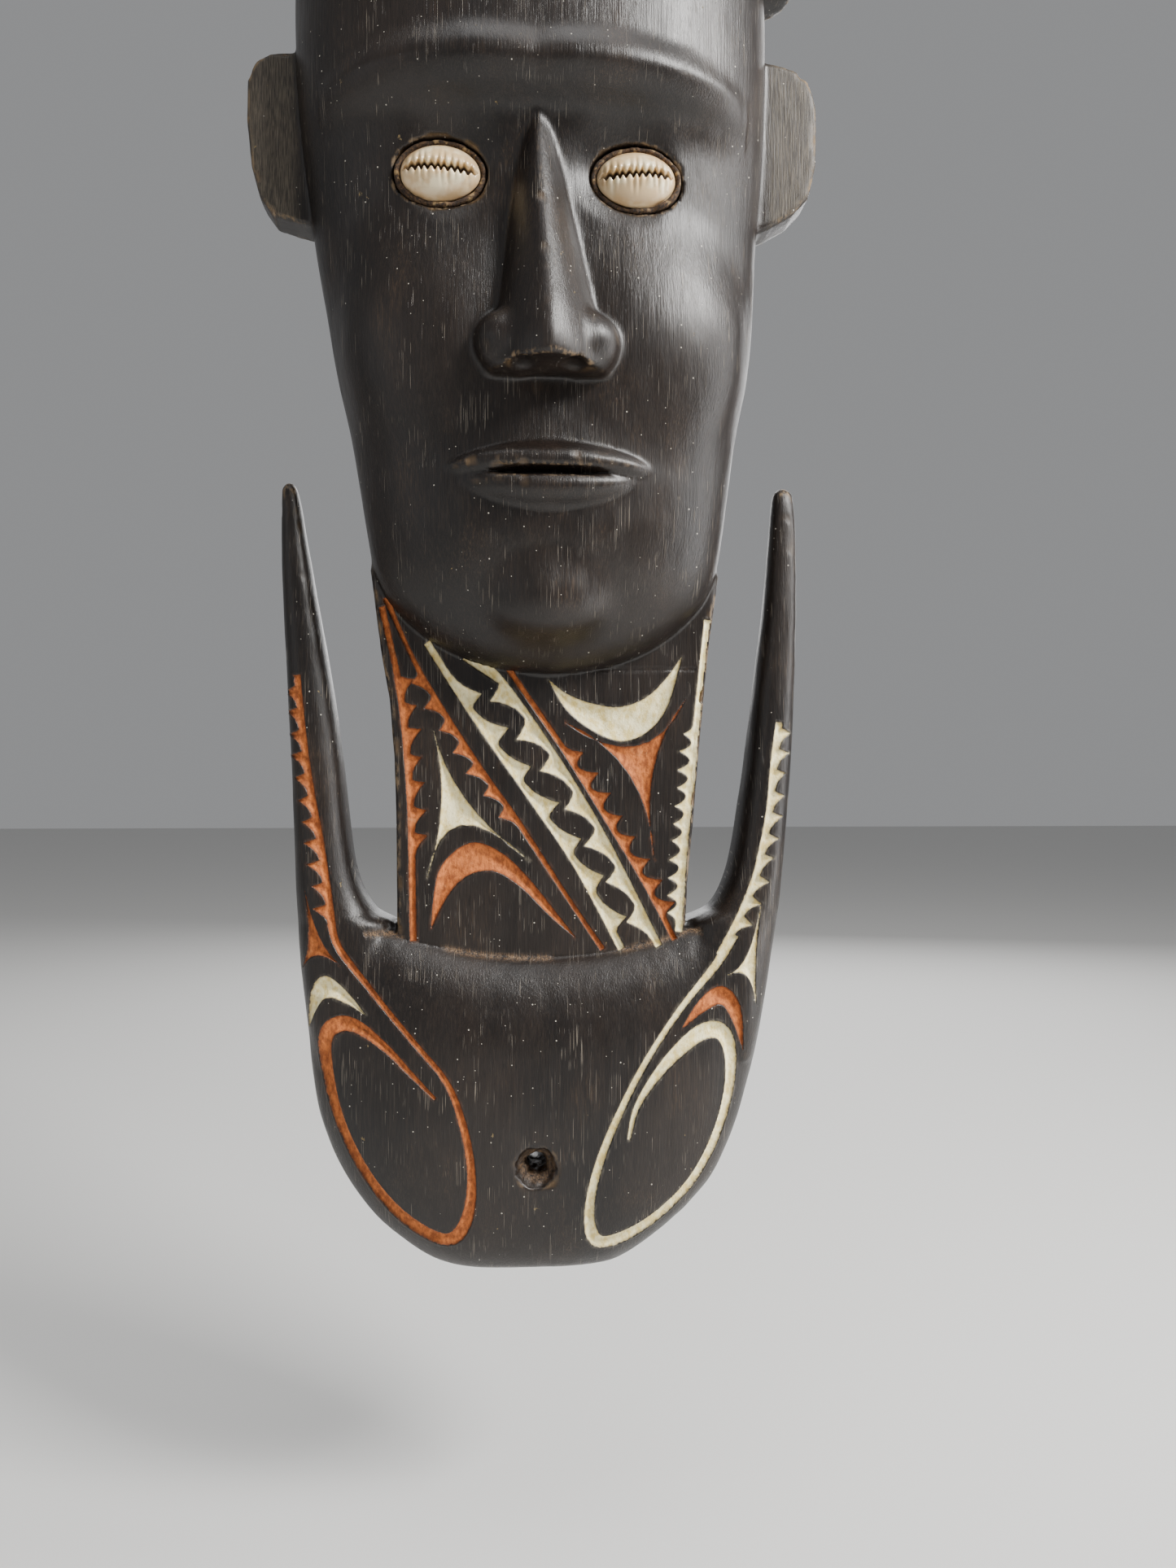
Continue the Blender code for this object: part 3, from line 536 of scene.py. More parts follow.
def carve():
    gx = np.arange(-90.0, 90.0, STEP, dtype=np.float32)
    gh = np.arange(-2.5, 72.0, STEP, dtype=np.float32)
    gz = np.arange(-429.0, 52.0, STEP, dtype=np.float32)
    px, pz = np.meshgrid(gx, gz, indexing="ij")
    flats = {}
    for outline in (LEFT_EAR, RIGHT_EAR, LUG, PANEL):
        flats[id(outline)] = outline_distance(px, pz, outline).astype(np.float32)
    field = np.empty((len(gx), len(gh), len(gz)), np.float32)
    for k in range(0, len(gz), 48):
        sl = slice(k, min(k + 48, len(gz)))
        field[:, :, sl] = wood_field(
            gx[:, None, None],
            gh[None, :, None],
            gz[None, None, sl],
            lambda outline, sl=sl: flats[id(outline)][:, None, sl],
        )
    return field, (gx, gh, gz)


def skin(field, grid):
    """Surface nets: one vertex in each crossed cell, one quad round each crossed edge."""
    inside = field < 0
    mixed = np.zeros(tuple(n - 1 for n in field.shape), np.int8)
    corners = [(a, b, c) for a in (0, 1) for b in (0, 1) for c in (0, 1)]
    nx, nh, nz = mixed.shape
    for a, b, c in corners:
        mixed += inside[a : a + nx, b : b + nh, c : c + nz]
    cells = np.nonzero((mixed > 0) & (mixed < 8))
    index = np.full(mixed.shape, -1, np.int32)
    index[cells] = np.arange(len(cells[0]))
    del mixed
    value = {(a, b, c): field[cells[0] + a, cells[1] + b, cells[2] + c] for a, b, c in corners}
    total = np.zeros((len(cells[0]), 3))
    count = np.zeros(len(cells[0]))
    for i, p in enumerate(corners):
        for q in corners[i + 1 :]:
            if sum(abs(m - n) for m, n in zip(p, q)) != 1:
                continue
            va, vb = value[p], value[q]
            hit = (va < 0) != (vb < 0)
            t = np.where(hit, va / np.where(hit, va - vb, 1), 0)
            for axis in range(3):
                total[:, axis] += np.where(hit, p[axis] + t * (q[axis] - p[axis]), 0)
            count += hit
    points = total / count[:, None]
    for axis in range(3):
        points[:, axis] = grid[axis][0] + (cells[axis] + points[:, axis]) * STEP
    quads = []
    for axis in range(3):
        a = [slice(None)] * 3
        b = [slice(None)] * 3
        a[axis], b[axis] = slice(0, -1), slice(1, None)
        first, second = inside[tuple(a)], inside[tuple(b)]
        hit = np.nonzero(first != second)
        flip = first[hit]
        u, v = [k for k in range(3) if k != axis]
        base = [hit[0].copy(), hit[1].copy(), hit[2].copy()]
        ring = []
        for du, dv in ((-1, -1), (0, -1), (0, 0), (-1, 0)):
            c = [base[0].copy(), base[1].copy(), base[2].copy()]
            c[u] += du
            c[v] += dv
            ring.append(index[c[0], c[1], c[2]])
        ring = np.stack(ring, axis=1)
        if axis == 1:
            flip = ~flip
        ring[~flip] = ring[~flip][:, ::-1]
        quads.append(ring)
    return points, np.concatenate(quads)


def edges_of(quads, n):
    pairs = np.concatenate([quads[:, [i, (i + 1) % 4]] for i in range(4)])
    pairs.sort(axis=1)
    keys = np.unique(pairs[:, 0].astype(np.int64) * n + pairs[:, 1])
    return keys // n, keys % n


def relax(values, edges, n, share, rounds):
    """Average with the neighbours; values is n by c."""
    a, b = edges
    degree = (np.bincount(a, minlength=n) + np.bincount(b, minlength=n)).astype(float)[:, None]
    for _ in range(rounds):
        total = np.stack(
            [
                np.bincount(a, values[b, c], n) + np.bincount(b, values[a, c], n)
                for c in range(values.shape[1])
            ],
            axis=1,
        )
        values = values + share * (total / degree - values)
    return values


def vertex_normals(points, quads):
    p = points[quads]
    face = np.cross(p[:, 2] - p[:, 0], p[:, 3] - p[:, 1])
    out = np.zeros_like(points)
    for c in range(3):
        out[:, c] = sum(np.bincount(quads[:, i], face[:, c], len(points)) for i in range(4))
    return out / np.maximum(np.linalg.norm(out, axis=1), 1e-12)[:, None]


field, grid = carve()
points, quads = skin(field, grid)
del field
n = len(points)
edges = edges_of(quads, n)
for share in (0.5, -0.52, 0.5, -0.52):
    points = relax(points, edges, n, share, 1)
normal = vertex_normals(points, quads)
if (normal[:, 1] * points[:, 1]).sum() < 0:  # outward is towards larger h on the front
    quads = quads[:, ::-1]
    normal = -normal

x, h, z = points.T
front = smoothstep(0.15, 0.5, normal[:, 1])
on_panel = (np.abs(h - PANEL_FRONT) < 2.0) & (z < -225) & (z > -331) & (normal[:, 1] > 0.6)
on_hook = (z < -246) & (h > 8) & ~((np.abs(x) < 52) & (z > -322))


def cut_distance(outlines, where):
    """Least distance to the outlines, worked out only near them."""
    out = np.full(n, 9.0)
    at = np.nonzero(where)[0]
    for outline in outlines:
        pts = np.array(outline)
        lo, hi = pts.min(axis=0) - 6, pts.max(axis=0) + 6
        near = at[(x[at] > lo[0]) & (x[at] < hi[0]) & (z[at] > lo[1]) & (z[at] < hi[1])]
        if len(near):
            out[near] = np.minimum(out[near], outline_distance(x[near], z[near], outline))
    return out


ochre = np.minimum(cut_distance(OCHRE_PANEL, on_panel), cut_distance(OCHRE_HOOK, on_hook & (front > 0)))
cream = np.minimum(cut_distance(CREAM_PANEL, on_panel), cut_distance(CREAM_HOOK, on_hook & (front > 0)))
either = np.minimum(ochre, cream)

# edges and hollows of the form, before the grooves
soft = relax(points, edges, n, 0.6, 14 if STEP < 1 else 8)
bulge = ((points - soft) * normal).sum(axis=1)
wide = relax(points, edges, n, 0.6, 60 if STEP < 1 else 30)
broad = ((points - wide) * normal).sum(axis=1)

# tool work: shallow facets, long flutes and small bruises
lift = 0.10 * lattice_noise(points, (9, 9, 16), 1) + 0.05 * lattice_noise(points, (3.2, 3.2, 7), 2)
lift += 0.025 * lattice_noise(points, (1.4, 1.4, 9), 3)
hollow = smoothstep(0.3, 0.8, -normal[:, 1]) * smoothstep(1.5, 3.0, h)
scoops = np.abs(lattice_noise(points, (7, 40, 15), 4)) + 0.6 * np.abs(lattice_noise(points, (4, 40, 9), 5))
lift = lift + hollow * (scoops * 1.1 - 0.5)
back = smoothstep(0.8, 0.95, -normal[:, 1]) * (h < 1.2)
lift += back * (0.16 * lattice_noise(points, (5, 30, 26), 6) - 0.1)
# the rough throat of the hook's hole
near = np.hypot(x - HOOK_HOLE[0], z - HOOK_HOLE[1])
throat = smoothstep(7.2, 5.4, near) * (h > 14) * (z < -380)
lift += throat * (0.55 * lattice_noise(points, (2.0, 2.0, 2.0), 9) + 0.3 * lattice_noise(points, (0.9, 1.2, 0.9), 10))
# worn and chipped edges
chips = smoothstep(0.35, 0.75, lattice_noise(points, (3.6, 3.6, 5.0), 7)) * smoothstep(0.10, 0.35, bulge)
lift -= 0.55 * chips
points = points + normal * lift[:, None]


def refine(quads, chosen, values):
    """Splits the chosen quads in four; their neighbours take the new corners into their outline."""
    n = len(values)
    split = quads[chosen]
    ends = np.stack([split, np.roll(split, -1, axis=1)], axis=2).reshape(-1, 2)
    ends.sort(axis=1)
    keys = ends[:, 0].astype(np.int64) * n + ends[:, 1]
    known, where = np.unique(keys, return_inverse=True)
    mid = (n + where).reshape(-1, 4)
    centre = n + len(known) + np.arange(len(split))
    halves = (values[known // n] + values[known % n]) / 2
    values = np.concatenate([values, halves, values[split].mean(axis=1)])
    parts = [
        np.stack([split[:, i], mid[:, i], centre, mid[:, i - 1]], axis=1) for i in range(4)
    ]
    rest = quads[~chosen]
    ends = np.stack([rest, np.roll(rest, -1, axis=1)], axis=2)
    low, high = ends.min(axis=2).astype(np.int64), ends.max(axis=2).astype(np.int64)
    keys = low * n + high
    at = np.clip(np.searchsorted(known, keys), 0, len(known) - 1)
    hit = known[at] == keys
    plain = ~hit.any(axis=1)
    parts.append(rest[plain])
    odd = []
    for corners, has, place in zip(rest[~plain], hit[~plain], at[~plain]):
        loop = []
        for i in range(4):
            loop.append(corners[i])
            if has[i]:
                loop.append(n + place[i])
        odd.append(loop)
    return np.concatenate(parts), odd, values


chosen = (either[quads].min(axis=1) < 1.0) & (front[quads].max(axis=1) > 0)
bundle = np.column_stack([points, normal, bulge, broad, chips, front])
quads, odd, bundle = refine(quads, chosen, bundle)
points, normal = bundle[:, :3], bundle[:, 3:6]
normal = normal / np.maximum(np.linalg.norm(normal, axis=1), 1e-9)[:, None]
bulge, broad, chips, front = bundle[:, 6:].T
n = len(points)
x, h, z = points.T
on_panel = (np.abs(h - PANEL_FRONT) < 2.0) & (z < -225) & (z > -333) & (normal[:, 1] > 0.6)
on_hook = (z < -246) & (h > 8) & ~((np.abs(x) < 52) & (z > -322)) & (front > 0)
ochre = np.minimum(cut_distance(OCHRE_PANEL, on_panel), cut_distance(OCHRE_HOOK, on_hook))
cream = np.minimum(cut_distance(CREAM_PANEL, on_panel), cut_distance(CREAM_HOOK, on_hook))
either = np.minimum(ochre, cream)

# the pigmented grooves: sloping walls down to a rounded floor
deep = np.maximum(0.12 - either, 0)
groove = 0.36 * (1 - np.exp(-deep / 0.12)) + 1.7 * (1 - np.exp(-0.75 * deep / 1.7))
lift = -groove * (1 + 0.15 * lattice_noise(points, (2.5, 2.5, 2.5), 8))
# a burr beside each cut
lift += 0.10 * np.exp(-(((either - 0.28) / 0.22) ** 2))
# a scribed guide line under the chin
scribe = np.where(on_panel & (x > 9) & (x < 48), np.abs(z + 247.0 - 0.012 * (x - 28)), 9)
lift -= 0.35 * smoothstep(0.8, 0.0, scribe)
points = points + normal * lift[:, None]
# resin and dirt along the ledge and in the hook's hole
ledge = -324.8 - 7.6 * np.maximum(0.0, 1 - ((x - 2) / 44) ** 2)
patches = smoothstep(-0.25, 0.45, lattice_noise(points, (11, 30, 30), 12) + 0.4 * (x > 12))
grime = np.exp(-(((z - ledge) / 0.8) ** 2)) * (np.abs(h - 22.4) < 2.4) * (np.abs(x) < 50) * patches
rho = np.hypot(x - HOOK_HOLE[0], z - HOOK_HOLE[1])
grime = np.maximum(grime, 0.8 * smoothstep(6.0, 4.2, rho) * (h > 12) * (z < -380))
# painted sheen: the outer part of each ear's front face is made lighter and greyer
ear_sheen = smoothstep(67.5, 71.5, np.abs(x - 0.5)) * smoothstep(-125, -122, z) * smoothstep(-60, -64, z)
ear_sheen = ear_sheen * smoothstep(0.3, 0.8, normal[:, 1])

low, high = (np.array(cad_box[0]), np.array(cad_box[1]))
body_mesh = bpy.data.meshes.new("carved_wood")
verts = np.stack([points[:, 0] * MM, -points[:, 1] * MM, (points[:, 2] - HANG_Z) * MM], axis=1)
verts[:, 1] = np.minimum(verts[:, 1], high[1])
body_mesh.vertices.add(n)
body_mesh.vertices.foreach_set("co", verts.astype(np.float32).ravel())
corners = np.concatenate([quads.ravel(), np.array([v for loop in odd for v in loop], int)]).astype(np.int32)
sizes = np.concatenate([np.full(len(quads), 4), np.array([len(loop) for loop in odd], int)]).astype(np.int32)
body_mesh.loops.add(len(corners))
body_mesh.loops.foreach_set("vertex_index", corners)
body_mesh.polygons.add(len(sizes))
body_mesh.polygons.foreach_set("loop_start", (np.cumsum(sizes) - sizes).astype(np.int32))
body_mesh.polygons.foreach_set("use_smooth", np.ones(len(sizes), bool))
body_mesh.update(calc_edges=True)
body_mesh.validate()


def store(mesh, name, values):
    layer = mesh.attributes.new(name, "FLOAT", "POINT")
    layer.data.foreach_set("value", np.asarray(values, np.float32))


store(body_mesh, "ochre", ochre)
store(body_mesh, "cream", cream)
store(body_mesh, "edge", bulge)
store(body_mesh, "broad", broad)
store(body_mesh, "chip", chips)
store(body_mesh, "grime", grime)
store(body_mesh, "ear_sheen", ear_sheen)
print("FACES", len(sizes), "VERTS", n)

wood = bpy.data.objects.new("carved_wood", body_mesh)
scene.collection.objects.link(wood)
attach(wood, "root")
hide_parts("carved_body")


# ---- node helpers ---------------------------------------------------------------------------------
class Nodes:
    def __init__(self, name):
        self.mat = bpy.data.materials.new(name)
        self.mat.use_nodes = True
        self.tree = self.mat.node_tree
        self.bsdf = self.tree.nodes["Principled BSDF"]
        self.place = self.new("ShaderNodeTexCoord").outputs["Object"]

    def new(self, kind, **props):
        node = self.tree.nodes.new(kind)
        for key, value in props.items():
            setattr(node, key, value)
        return node

    def wire(self, value, socket):
        if hasattr(value, "links"):
            self.tree.links.new(value, socket)
        else:
            socket.default_value = value

    def stretch(self, size, turn=(0, 0, 0)):
        """Coordinates where one unit is the given size in mm along each axis."""
        node = self.new("ShaderNodeMapping")
        self.wire(self.place, node.inputs["Vector"])
        node.inputs["Rotation"].default_value = turn
        node.inputs["Scale"].default_value = tuple(1000.0 / s for s in size)
        return node.outputs["Vector"]

    def noise(self, size, detail=4.0, rough=0.55, turn=(0, 0, 0), warp=0.0):
        node = self.new("ShaderNodeTexNoise")
        self.wire(self.stretch(size, turn), node.inputs["Vector"])
        node.inputs["Scale"].default_value = 1.0
        node.inputs["Detail"].default_value = detail
        node.inputs["Roughness"].default_value = rough
        node.inputs["Distortion"].default_value = warp
        return node.outputs["Fac"]

    def maths(self, how, a, b=0.0, c=0.0, clamp=False):
        node = self.new("ShaderNodeMath", operation=how, use_clamp=clamp)
        self.wire(a, node.inputs[0])
        self.wire(b, node.inputs[1])
        self.wire(c, node.inputs[2])
        return node.outputs[0]

    def span(self, value, low, high, to_low=0.0, to_high=1.0):
        node = self.new("ShaderNodeMapRange", interpolation_type="SMOOTHSTEP")
        self.wire(value, node.inputs["Value"])
        node.inputs["From Min"].default_value = low
        node.inputs["From Max"].default_value = high
        node.inputs["To Min"].default_value = to_low
        node.inputs["To Max"].default_value = to_high
        return node.outputs["Result"]

    def mix(self, share, a, b):
        node = self.new("ShaderNodeMix", data_type="RGBA")
        self.wire(share, node.inputs[0])
        self.wire(a, node.inputs[6])
        self.wire(b, node.inputs[7])
        return node.outputs[2]

    def attribute(self, name):
        return self.new("ShaderNodeAttribute", attribute_name=name).outputs["Fac"]

    def bump(self, height, distance, strength, after=None):
        node = self.new("ShaderNodeBump")
        self.wire(height, node.inputs["Height"])
        node.inputs["Distance"].default_value = distance
        node.inputs["Strength"].default_value = strength
        if after is not None:
            self.wire(after, node.inputs["Normal"])
        return node.outputs["Normal"]

    def finish(self, colour, rough, bump):
        self.wire(colour, self.bsdf.inputs["Base Color"])
        self.wire(rough, self.bsdf.inputs["Roughness"])
        self.wire(bump, self.bsdf.inputs["Normal"])
        return self.mat


def rgb(r, g, b):
    """sRGB 0 to 255 to the shader's colour."""
    out = []
    for v in (r, g, b):
        v /= 255
        out.append(v / 12.92 if v <= 0.04045 else ((v + 0.055) / 1.055) ** 2.4)
    return (*out, 1.0)


# ---- stained wood with pigment in its grooves ------------------------------------------------------
w = Nodes("stained_wood_look")
broad_tone = w.noise((30, 30, 60), 4, 0.55)
grain = w.noise((0.55, 0.55, 14), 5, 0.6, warp=0.3)
fine = w.noise((0.26, 0.26, 5.0), 3, 0.6)
pores = w.noise((0.42, 0.42, 3.6), 2, 0.5)
colour = w.mix(w.span(broad_tone, 0.34, 0.68), rgb(17, 12, 10), rgb(33, 26, 22))
colour = w.mix(w.span(grain, 0.44, 0.70, 0, 0.34), colour, rgb(52, 43, 36))
colour = w.mix(w.span(fine, 0.52, 0.76, 0, 0.15), colour, rgb(72, 61, 51))
# painted sheen on the ears' front faces: a lighter grey in the grain, a little rougher
ear_sheen = w.attribute("ear_sheen")
colour = w.mix(w.maths("MULTIPLY", ear_sheen, w.span(fine, 0.38, 0.66, 0.12, 0.62)), colour, rgb(104, 95, 80))
colour = w.mix(w.span(pores, 0.38, 0.28, 0, 0.7), colour, rgb(11, 8, 7))
# rubbed places, where the stain is thin and the brown of the wood shows in the grain
rubbed = w.span(w.noise((15, 15, 30), 4, 0.6), 0.52, 0.68)
thin = w.maths("MULTIPLY", rubbed, w.span(fine, 0.50, 0.66))
colour = w.mix(w.maths("MULTIPLY", thin, 0.2), colour, rgb(98, 76, 54))
# short pale flecks along the grain
fleck = w.span(w.noise((0.42, 0.42, 2.6), 2, 0.6), 0.72, 0.77)
fleck = w.maths("MULTIPLY", fleck, w.span(w.noise((11, 11, 16), 3, 0.6), 0.50, 0.62))
colour = w.mix(w.maths("MULTIPLY", fleck, 0.12), colour, rgb(128, 108, 80))
# small bare patches with broken edges
flake = w.span(w.noise((3.6, 3.6, 5.4), 5, 0.62), 0.715, 0.73)
colour = w.mix(w.maths("MULTIPLY", flake, 0.85), colour, rgb(126, 108, 72))
# worn edges
edge = w.attribute("edge")
patchy = w.noise((1.8, 1.8, 4.5), 5, 0.68)
worn = w.maths("MULTIPLY", w.span(edge, 0.20, 0.42), w.span(patchy, 0.46, 0.62))
colour = w.mix(w.maths("MULTIPLY", worn, 0.75), colour, rgb(132, 110, 82))
colour = w.mix(w.maths("MULTIPLY", w.attribute("chip"), 0.45), colour, rgb(120, 96, 66))
# painted shade: darker, nearly black, in the hollows of the form
colour = w.mix(w.span(edge, -0.10, -0.40, 0, 0.6), colour, rgb(14, 11, 10))
# scratches, mostly along and a little across the grain
marks = None
for size, turn, gate in (
    ((0.14, 5, 18), (0, 0.40, 0), 0.745),
    ((0.13, 5, 14), (0, -0.62, 0), 0.75),
    ((0.15, 5, 11), (0, 1.25, 0), 0.755),
):
    line = w.span(w.noise(size, 0, 0.5, turn), gate, gate + 0.03)
    some = w.span(w.noise((9, 9, 12), 1, 0.5, turn), 0.56, 0.62)
    line = w.maths("MULTIPLY", line, some)
    marks = line if marks is None else w.maths("MAXIMUM", marks, line)
colour = w.mix(w.maths("MULTIPLY", marks, 0.6), colour, rgb(140, 130, 116))
# dust specks
speck = None
for size, gate, radius in ((3.1, 0.74, 0.085), (1.7, 0.86, 0.10)):
    cells = w.new("ShaderNodeTexVoronoi", feature="F1")
    w.wire(w.stretch((size, size, size)), cells.inputs["Vector"])
    cells.inputs["Scale"].default_value = 1.0
    pick = w.new("ShaderNodeSeparateColor")
    w.wire(cells.outputs["Color"], pick.inputs[0])
    dot = w.maths("MULTIPLY", w.span(cells.outputs["Distance"], radius, radius * 0.55), w.maths("GREATER_THAN", pick.outputs[0], gate))
    speck = dot if speck is None else w.maths("MAXIMUM", speck, dot)
colour = w.mix(w.maths("MULTIPLY", speck, 0.8), colour, rgb(206, 200, 186))
# resin and dirt
crumbs = w.noise((1.2, 1.2, 0.9), 5, 0.7)
grime = w.maths("MULTIPLY", w.attribute("grime"), w.span(crumbs, 0.36, 0.56))
colour = w.mix(w.maths("MULTIPLY", grime, 0.85), colour, w.mix(w.span(fine, 0.4, 0.62), rgb(66, 48, 34), rgb(136, 108, 78)))
# pigment
wobble = w.maths("MULTIPLY", w.maths("SUBTRACT", w.noise((1.1, 1.1, 1.1), 3, 0.6), 0.5), 0.55)
shed = w.span(w.noise((2.0, 2.0, 3.4), 5, 0.7), 0.67, 0.72)
masks = {}
for name in ("ochre", "cream"):
    near = w.maths("ADD", w.attribute(name), wobble)
    inside = w.span(near, 0.16, -0.06)
    keep = w.maths("SUBTRACT", 1.0, w.maths("MULTIPLY", shed, 0.7))
    masks[name] = w.maths("MULTIPLY", inside, keep)
    haze = w.maths("MULTIPLY", w.span(near, 1.2, 0.1, 0, 0.22), w.span(patchy, 0.45, 0.65))
    colour = w.mix(haze, colour, rgb(128, 82, 56) if name == "ochre" else rgb(160, 152, 134))
earth = w.mix(w.span(w.noise((1.3, 1.3, 2.2), 5, 0.62), 0.34, 0.66), rgb(148, 79, 37), rgb(212, 122, 60))
# painted highlight: lighter orange patches scattered over the ochre
earth = w.mix(w.span(w.noise((3.4, 3.4, 5), 4, 0.6), 0.60, 0.72, 0, 0.4), earth, rgb(226, 160, 104))
# painted shade: the ochre darkens towards the cut's edge, where its walls lie in shadow
earth = w.mix(w.span(w.attribute("ochre"), -0.62, 0.05, 0, 0.66), earth, rgb(88, 44, 22))
lime = w.mix(w.span(w.noise((1.8, 1.8, 3.0), 5, 0.62), 0.34, 0.62), rgb(228, 206, 136), rgb(255, 245, 198))
lime = w.mix(w.span(w.noise((0.8, 0.8, 1.6), 3, 0.6), 0.62, 0.72, 0, 0.5), lime, rgb(170, 150, 104))
# painted shade: the cream darkens towards the cut's edge, where its walls lie in shadow
lime = w.mix(w.span(w.attribute("cream"), -0.5, 0.08, 0, 0.6), lime, rgb(140, 120, 84))
colour = w.mix(masks["ochre"], colour, earth)
colour = w.mix(masks["cream"], colour, lime)
paint = w.maths("MAXIMUM", masks["ochre"], masks["cream"])
rough = w.maths("ADD", 0.25, w.maths("MULTIPLY", w.noise((6, 6, 16), 4, 0.6), 0.20))
rough = w.maths("ADD", rough, w.maths("MULTIPLY", w.maths("MAXIMUM", worn, w.maths("MAXIMUM", flake, grime)), 0.3))
rough = w.maths("ADD", rough, w.maths("MULTIPLY", ear_sheen, 0.14))
rough = w.maths("ADD", rough, w.maths("MULTIPLY", paint, 0.45), clamp=True)
relief = w.bump(grain, 0.0003, 0.35)
relief = w.bump(fine, 0.00015, 0.35, relief)
relief = w.bump(w.maths("MULTIPLY", w.maths("MAXIMUM", marks, flake), -1.0), 0.0002, 0.5, relief)
chalk = w.maths("MULTIPLY", w.maths("MAXIMUM", paint, grime), w.noise((0.7, 0.7, 0.9), 4, 0.65))
relief = w.bump(chalk, 0.0005, 0.6, relief)
w.bsdf.inputs["Specular IOR Level"].default_value = 0.45
body_mesh.materials.append(w.finish(colour, rough, relief))


# ---- shells and their putty --------------------------------------------------------------------------
SHELL_LONG, SHELL_HALF, SHELL_MID, SHELL_PEAK, SHELL_BACK = 11.0, 7.6, 45.0, 50.4, 42.0
TEETH = 10


def grid_mesh(name, coords, rows, columns, cap):
    """Rings of points, closed round, with an end fan at the first and last ring."""
    faces = []
    for r in range(rows - 1):
        for c in range(columns):
            d = (c + 1) % columns
            faces.append((r * columns + c, r * columns + d, (r + 1) * columns + d, (r + 1) * columns + c))
    faces.append(tuple(range(columns))[::-1])
    if cap:
        faces.append(tuple(range((rows - 1) * columns, rows * columns)))
    mesh = bpy.data.meshes.new(name)
    mesh.from_pydata([(a * MM, -b * MM, (c - HANG_Z) * MM) for a, b, c in coords], [], faces)
    mesh.validate()
    import bmesh

    bm = bmesh.new()
    bm.from_mesh(mesh)
    bmesh.ops.recalc_face_normals(bm, faces=bm.faces)
    bm.to_mesh(mesh)
    bm.free()
    mesh.polygons.foreach_set("use_smooth", np.ones(len(mesh.polygons), bool))
    ob = bpy.data.objects.new(name, mesh)
    scene.collection.objects.link(ob)
    return ob


def shell_height(u, v, flip, seed):
    """Height over the shell's middle at (u, v), mm from its centre; also slit and tooth marks."""
    q = np.sqrt((u / SHELL_LONG) ** 2 + (v / SHELL_HALF) ** 2)
    dome = (SHELL_PEAK - SHELL_MID) * np.maximum(1 - q**2.3, 0) ** 0.55
    middle = 0.35 * np.sin(u / SHELL_LONG * 2.2) * flip
    off = v - middle
    wave = np.cos(2 * math.pi * (u / (1.62 * SHELL_LONG) * TEETH + 0.25 * np.sign(off) + 0.06 * np.sin(u * 1.3)))
    reach = np.clip(1 - (np.abs(u) / (0.96 * SHELL_LONG)) ** 6, 0, 1)
    half = (0.72 + 0.30 * np.abs(u / SHELL_LONG) ** 1.5 + 0.44 * wave) * reach + 0.02
    slit = smoothstep(half + 0.30, half - 0.20, np.abs(off)) * reach
    long_ribs = 2.9 + 0.8 * np.sin(u * 0.9 + seed)
    ribs = (0.5 + 0.5 * wave) ** 1.4 * np.exp(-((np.abs(off) / long_ribs) ** 2.4)) * reach
    lips = 0.55 * np.exp(-(((np.abs(off) - 1.9) / 1.5) ** 2)) * reach
    return dome - 2.4 * slit - 0.68 * ribs + lips - 0.35, slit, ribs


def build_shell(side, x0, flip):
    rings, columns = 74, 200
    coords, slit_mark, rib_mark, rim_mark = [], [], [], []
    for r in range(rings):
        share = ((r + 0.15) / (rings - 1 + 0.15)) ** 0.92
        t = 2 * math.pi * np.arange(columns) / columns
        u = SHELL_LONG * share * np.sign(np.cos(t)) * np.abs(np.cos(t))
        v = SHELL_HALF * share * np.sin(t) * (1 + 0.05 * flip * np.cos(t))
        v = np.clip(v, -SHELL_HALF, SHELL_HALF)
        rise, slit, rib = shell_height(u, v, flip, 1.0 + flip)
        for a, b, c, s, m in zip(u, v, rise, slit, rib):
            coords.append((x0 + a, SHELL_MID + max(c, 0.0), EYE_Z + b))
            slit_mark.append(s)
            rib_mark.append(m)
            rim_mark.append(share)
    for share in (0.96, 0.8):
        for k in range(columns):
            t = 2 * math.pi * k / columns
            drop = (SHELL_MID - SHELL_BACK) * (1 - share**2) ** 0.5
            coords.append((x0 + SHELL_LONG * share * math.cos(t), SHELL_MID - drop, EYE_Z + SHELL_HALF * share * math.sin(t)))
            slit_mark.append(0)
            rib_mark.append(0)
            rim_mark.append(1)
    ob = grid_mesh(f"{side}_shell", coords, rings + 2, columns, True)
    store(ob.data, "slit", slit_mark)
    store(ob.data, "rib", rib_mark)
    store(ob.data, "rim", rim_mark)
    ob.data.materials.append(shell_look)
    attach(ob, "root")
    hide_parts(f"{side}_cowrie")


s = Nodes("cowrie_look")
cloud = s.noise((5, 5, 5), 3, 0.5)
tint = s.mix(s.span(cloud, 0.4, 0.65), rgb(216, 186, 140), rgb(245, 228, 188))
tint = s.mix(s.span(s.attribute("rim"), 0.62, 1.0, 0, 0.55), tint, rgb(198, 160, 118))
tint = s.mix(s.span(s.attribute("rib"), 0.30, 0.9, 0, 0.6), tint, rgb(196, 158, 100))
tint = s.mix(s.span(s.attribute("slit"), 0.25, 0.9), tint, rgb(60, 40, 26))
stain = s.span(s.noise((1.6, 1.6, 1.6), 5, 0.65), 0.62, 0.72, 0, 0.4)
tint = s.mix(stain, tint, rgb(170, 140, 100))
s.bsdf.inputs["Specular IOR Level"].default_value = 0.55
s.bsdf.inputs["Coat Weight"].default_value = 0.25
s.bsdf.inputs["Coat Roughness"].default_value = 0.12
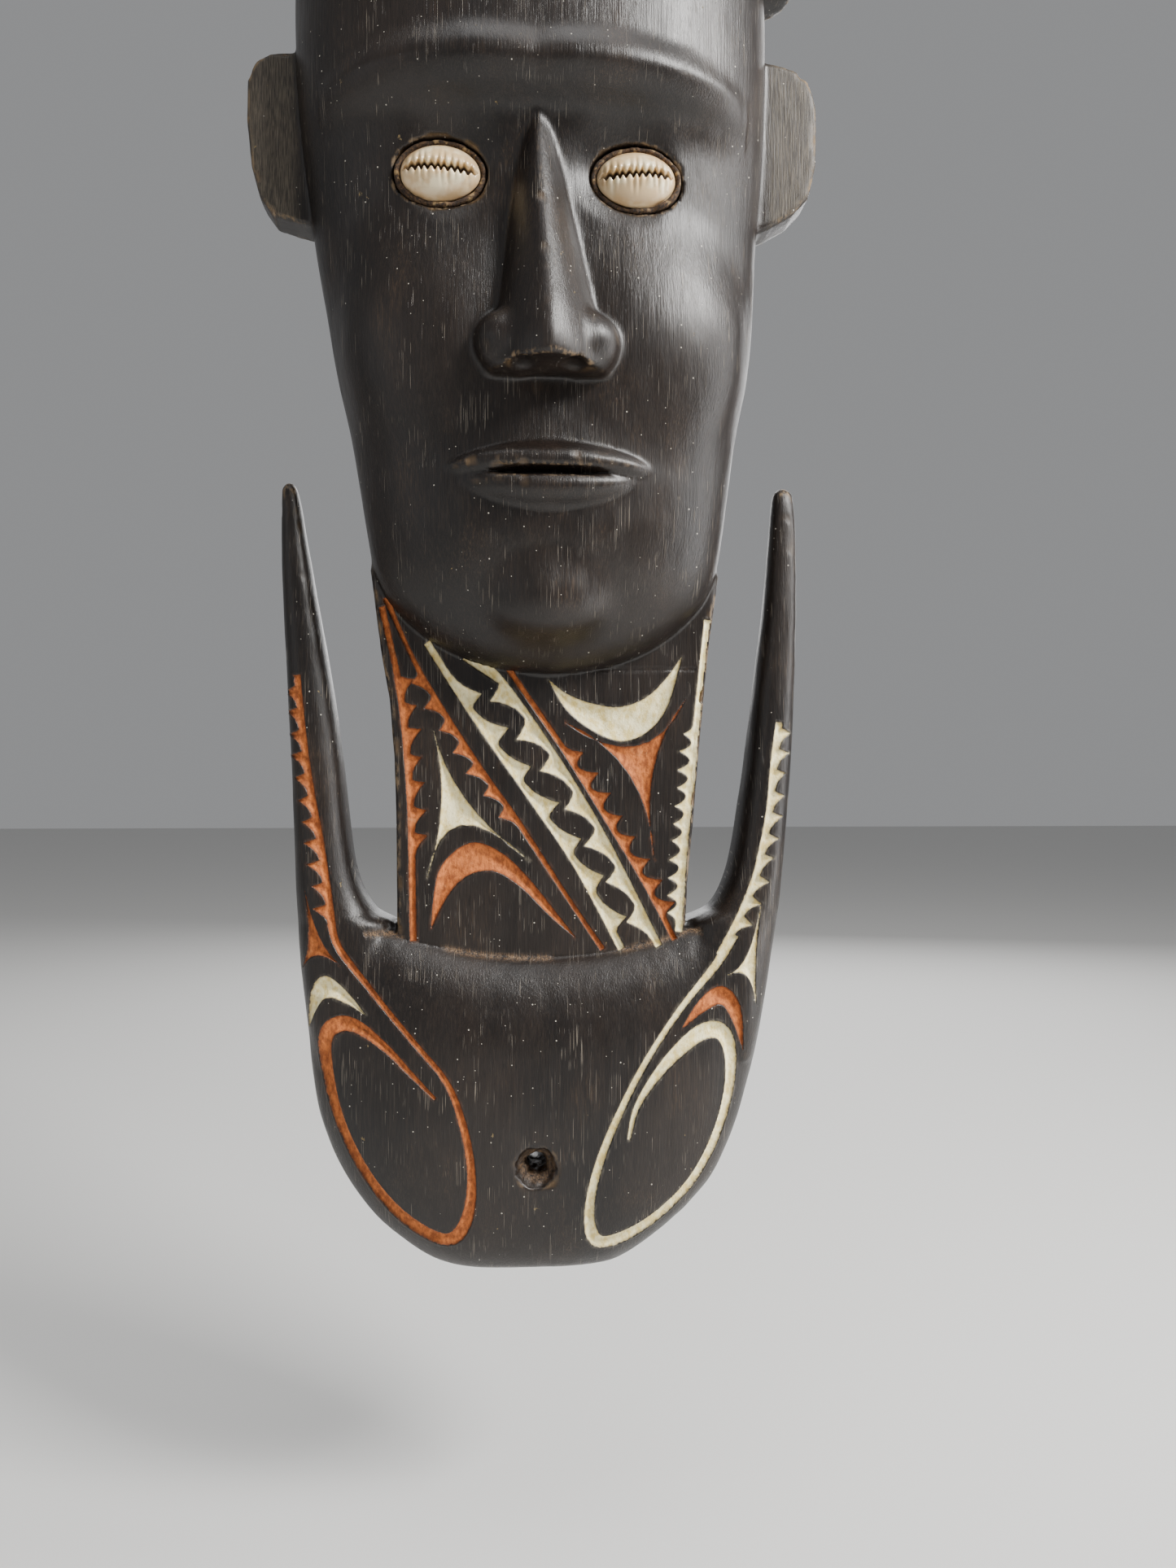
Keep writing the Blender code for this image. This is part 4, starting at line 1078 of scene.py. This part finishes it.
shell_rough = s.maths("ADD", 0.20, s.maths("MULTIPLY", s.attribute("slit"), 0.5))
shell_look = s.finish(tint, shell_rough, s.bump(s.noise((0.5, 0.5, 0.5), 2, 0.5), 0.0001, 0.15))

b = Nodes("putty_look")
grit = b.noise((0.8, 0.8, 0.8), 6, 0.65)
mud = b.mix(b.span(grit, 0.38, 0.70), rgb(34, 24, 17), rgb(98, 72, 46))
mud = b.mix(b.span(b.noise((2.4, 2.4, 2.4), 3, 0.5), 0.54, 0.68, 0, 0.6), mud, rgb(176, 146, 100))
putty_look = b.finish(mud, 0.85, b.bump(grit, 0.0006, 0.6))


def build_putty(side, x0):
    columns = 160
    out_a, out_b = 12.7, 9.3
    coords = []
    t = 2 * math.pi * np.arange(columns) / columns
    p = np.stack([x0 + 12 * np.cos(t), np.zeros(columns), 9 * np.sin(t)], axis=1)
    lumps = lattice_noise(p, (1.7, 1.7, 1.7), 21 + len(side)) + 0.5 * lattice_noise(p, (0.8, 0.8, 0.8), 31)
    rings = (
        # share from the seat (0) to the socket wall (1), height
        (0.0, 43.6), (0.02, 44.6), (0.12, 45.35), (0.35, 45.75), (0.6, 45.8), (0.82, 45.6), (0.95, 45.1), (1.0, 44.3),
        (1.0, 38.8),
    )
    seat_a, seat_b = SHELL_LONG + 0.05, SHELL_HALF + 0.05
    for share, height in rings:
        a = seat_a + (out_a - seat_a) * share
        c = seat_b + (out_b - seat_b) * share
        rough_top = 0.35 * lumps * (1 if 0.1 < share < 0.97 else 0)
        for k in range(columns):
            coords.append((x0 + a * math.cos(t[k]), height + rough_top[k], EYE_Z + c * math.sin(t[k])))
    rows = len(rings)
    ob = grid_mesh(f"{side}_putty", coords, rows, columns, True)
    ob.data.materials.append(putty_look)
    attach(ob, "root")
    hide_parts(f"{side}_eye_bedding")


eye_middle = float(lean(np.array([EYE_Z]))[0])
for side, sign in (("left", -1), ("right", 1)):
    build_shell(side, eye_middle + sign * EYE_X, sign)
    build_putty(side, eye_middle + sign * EYE_X)
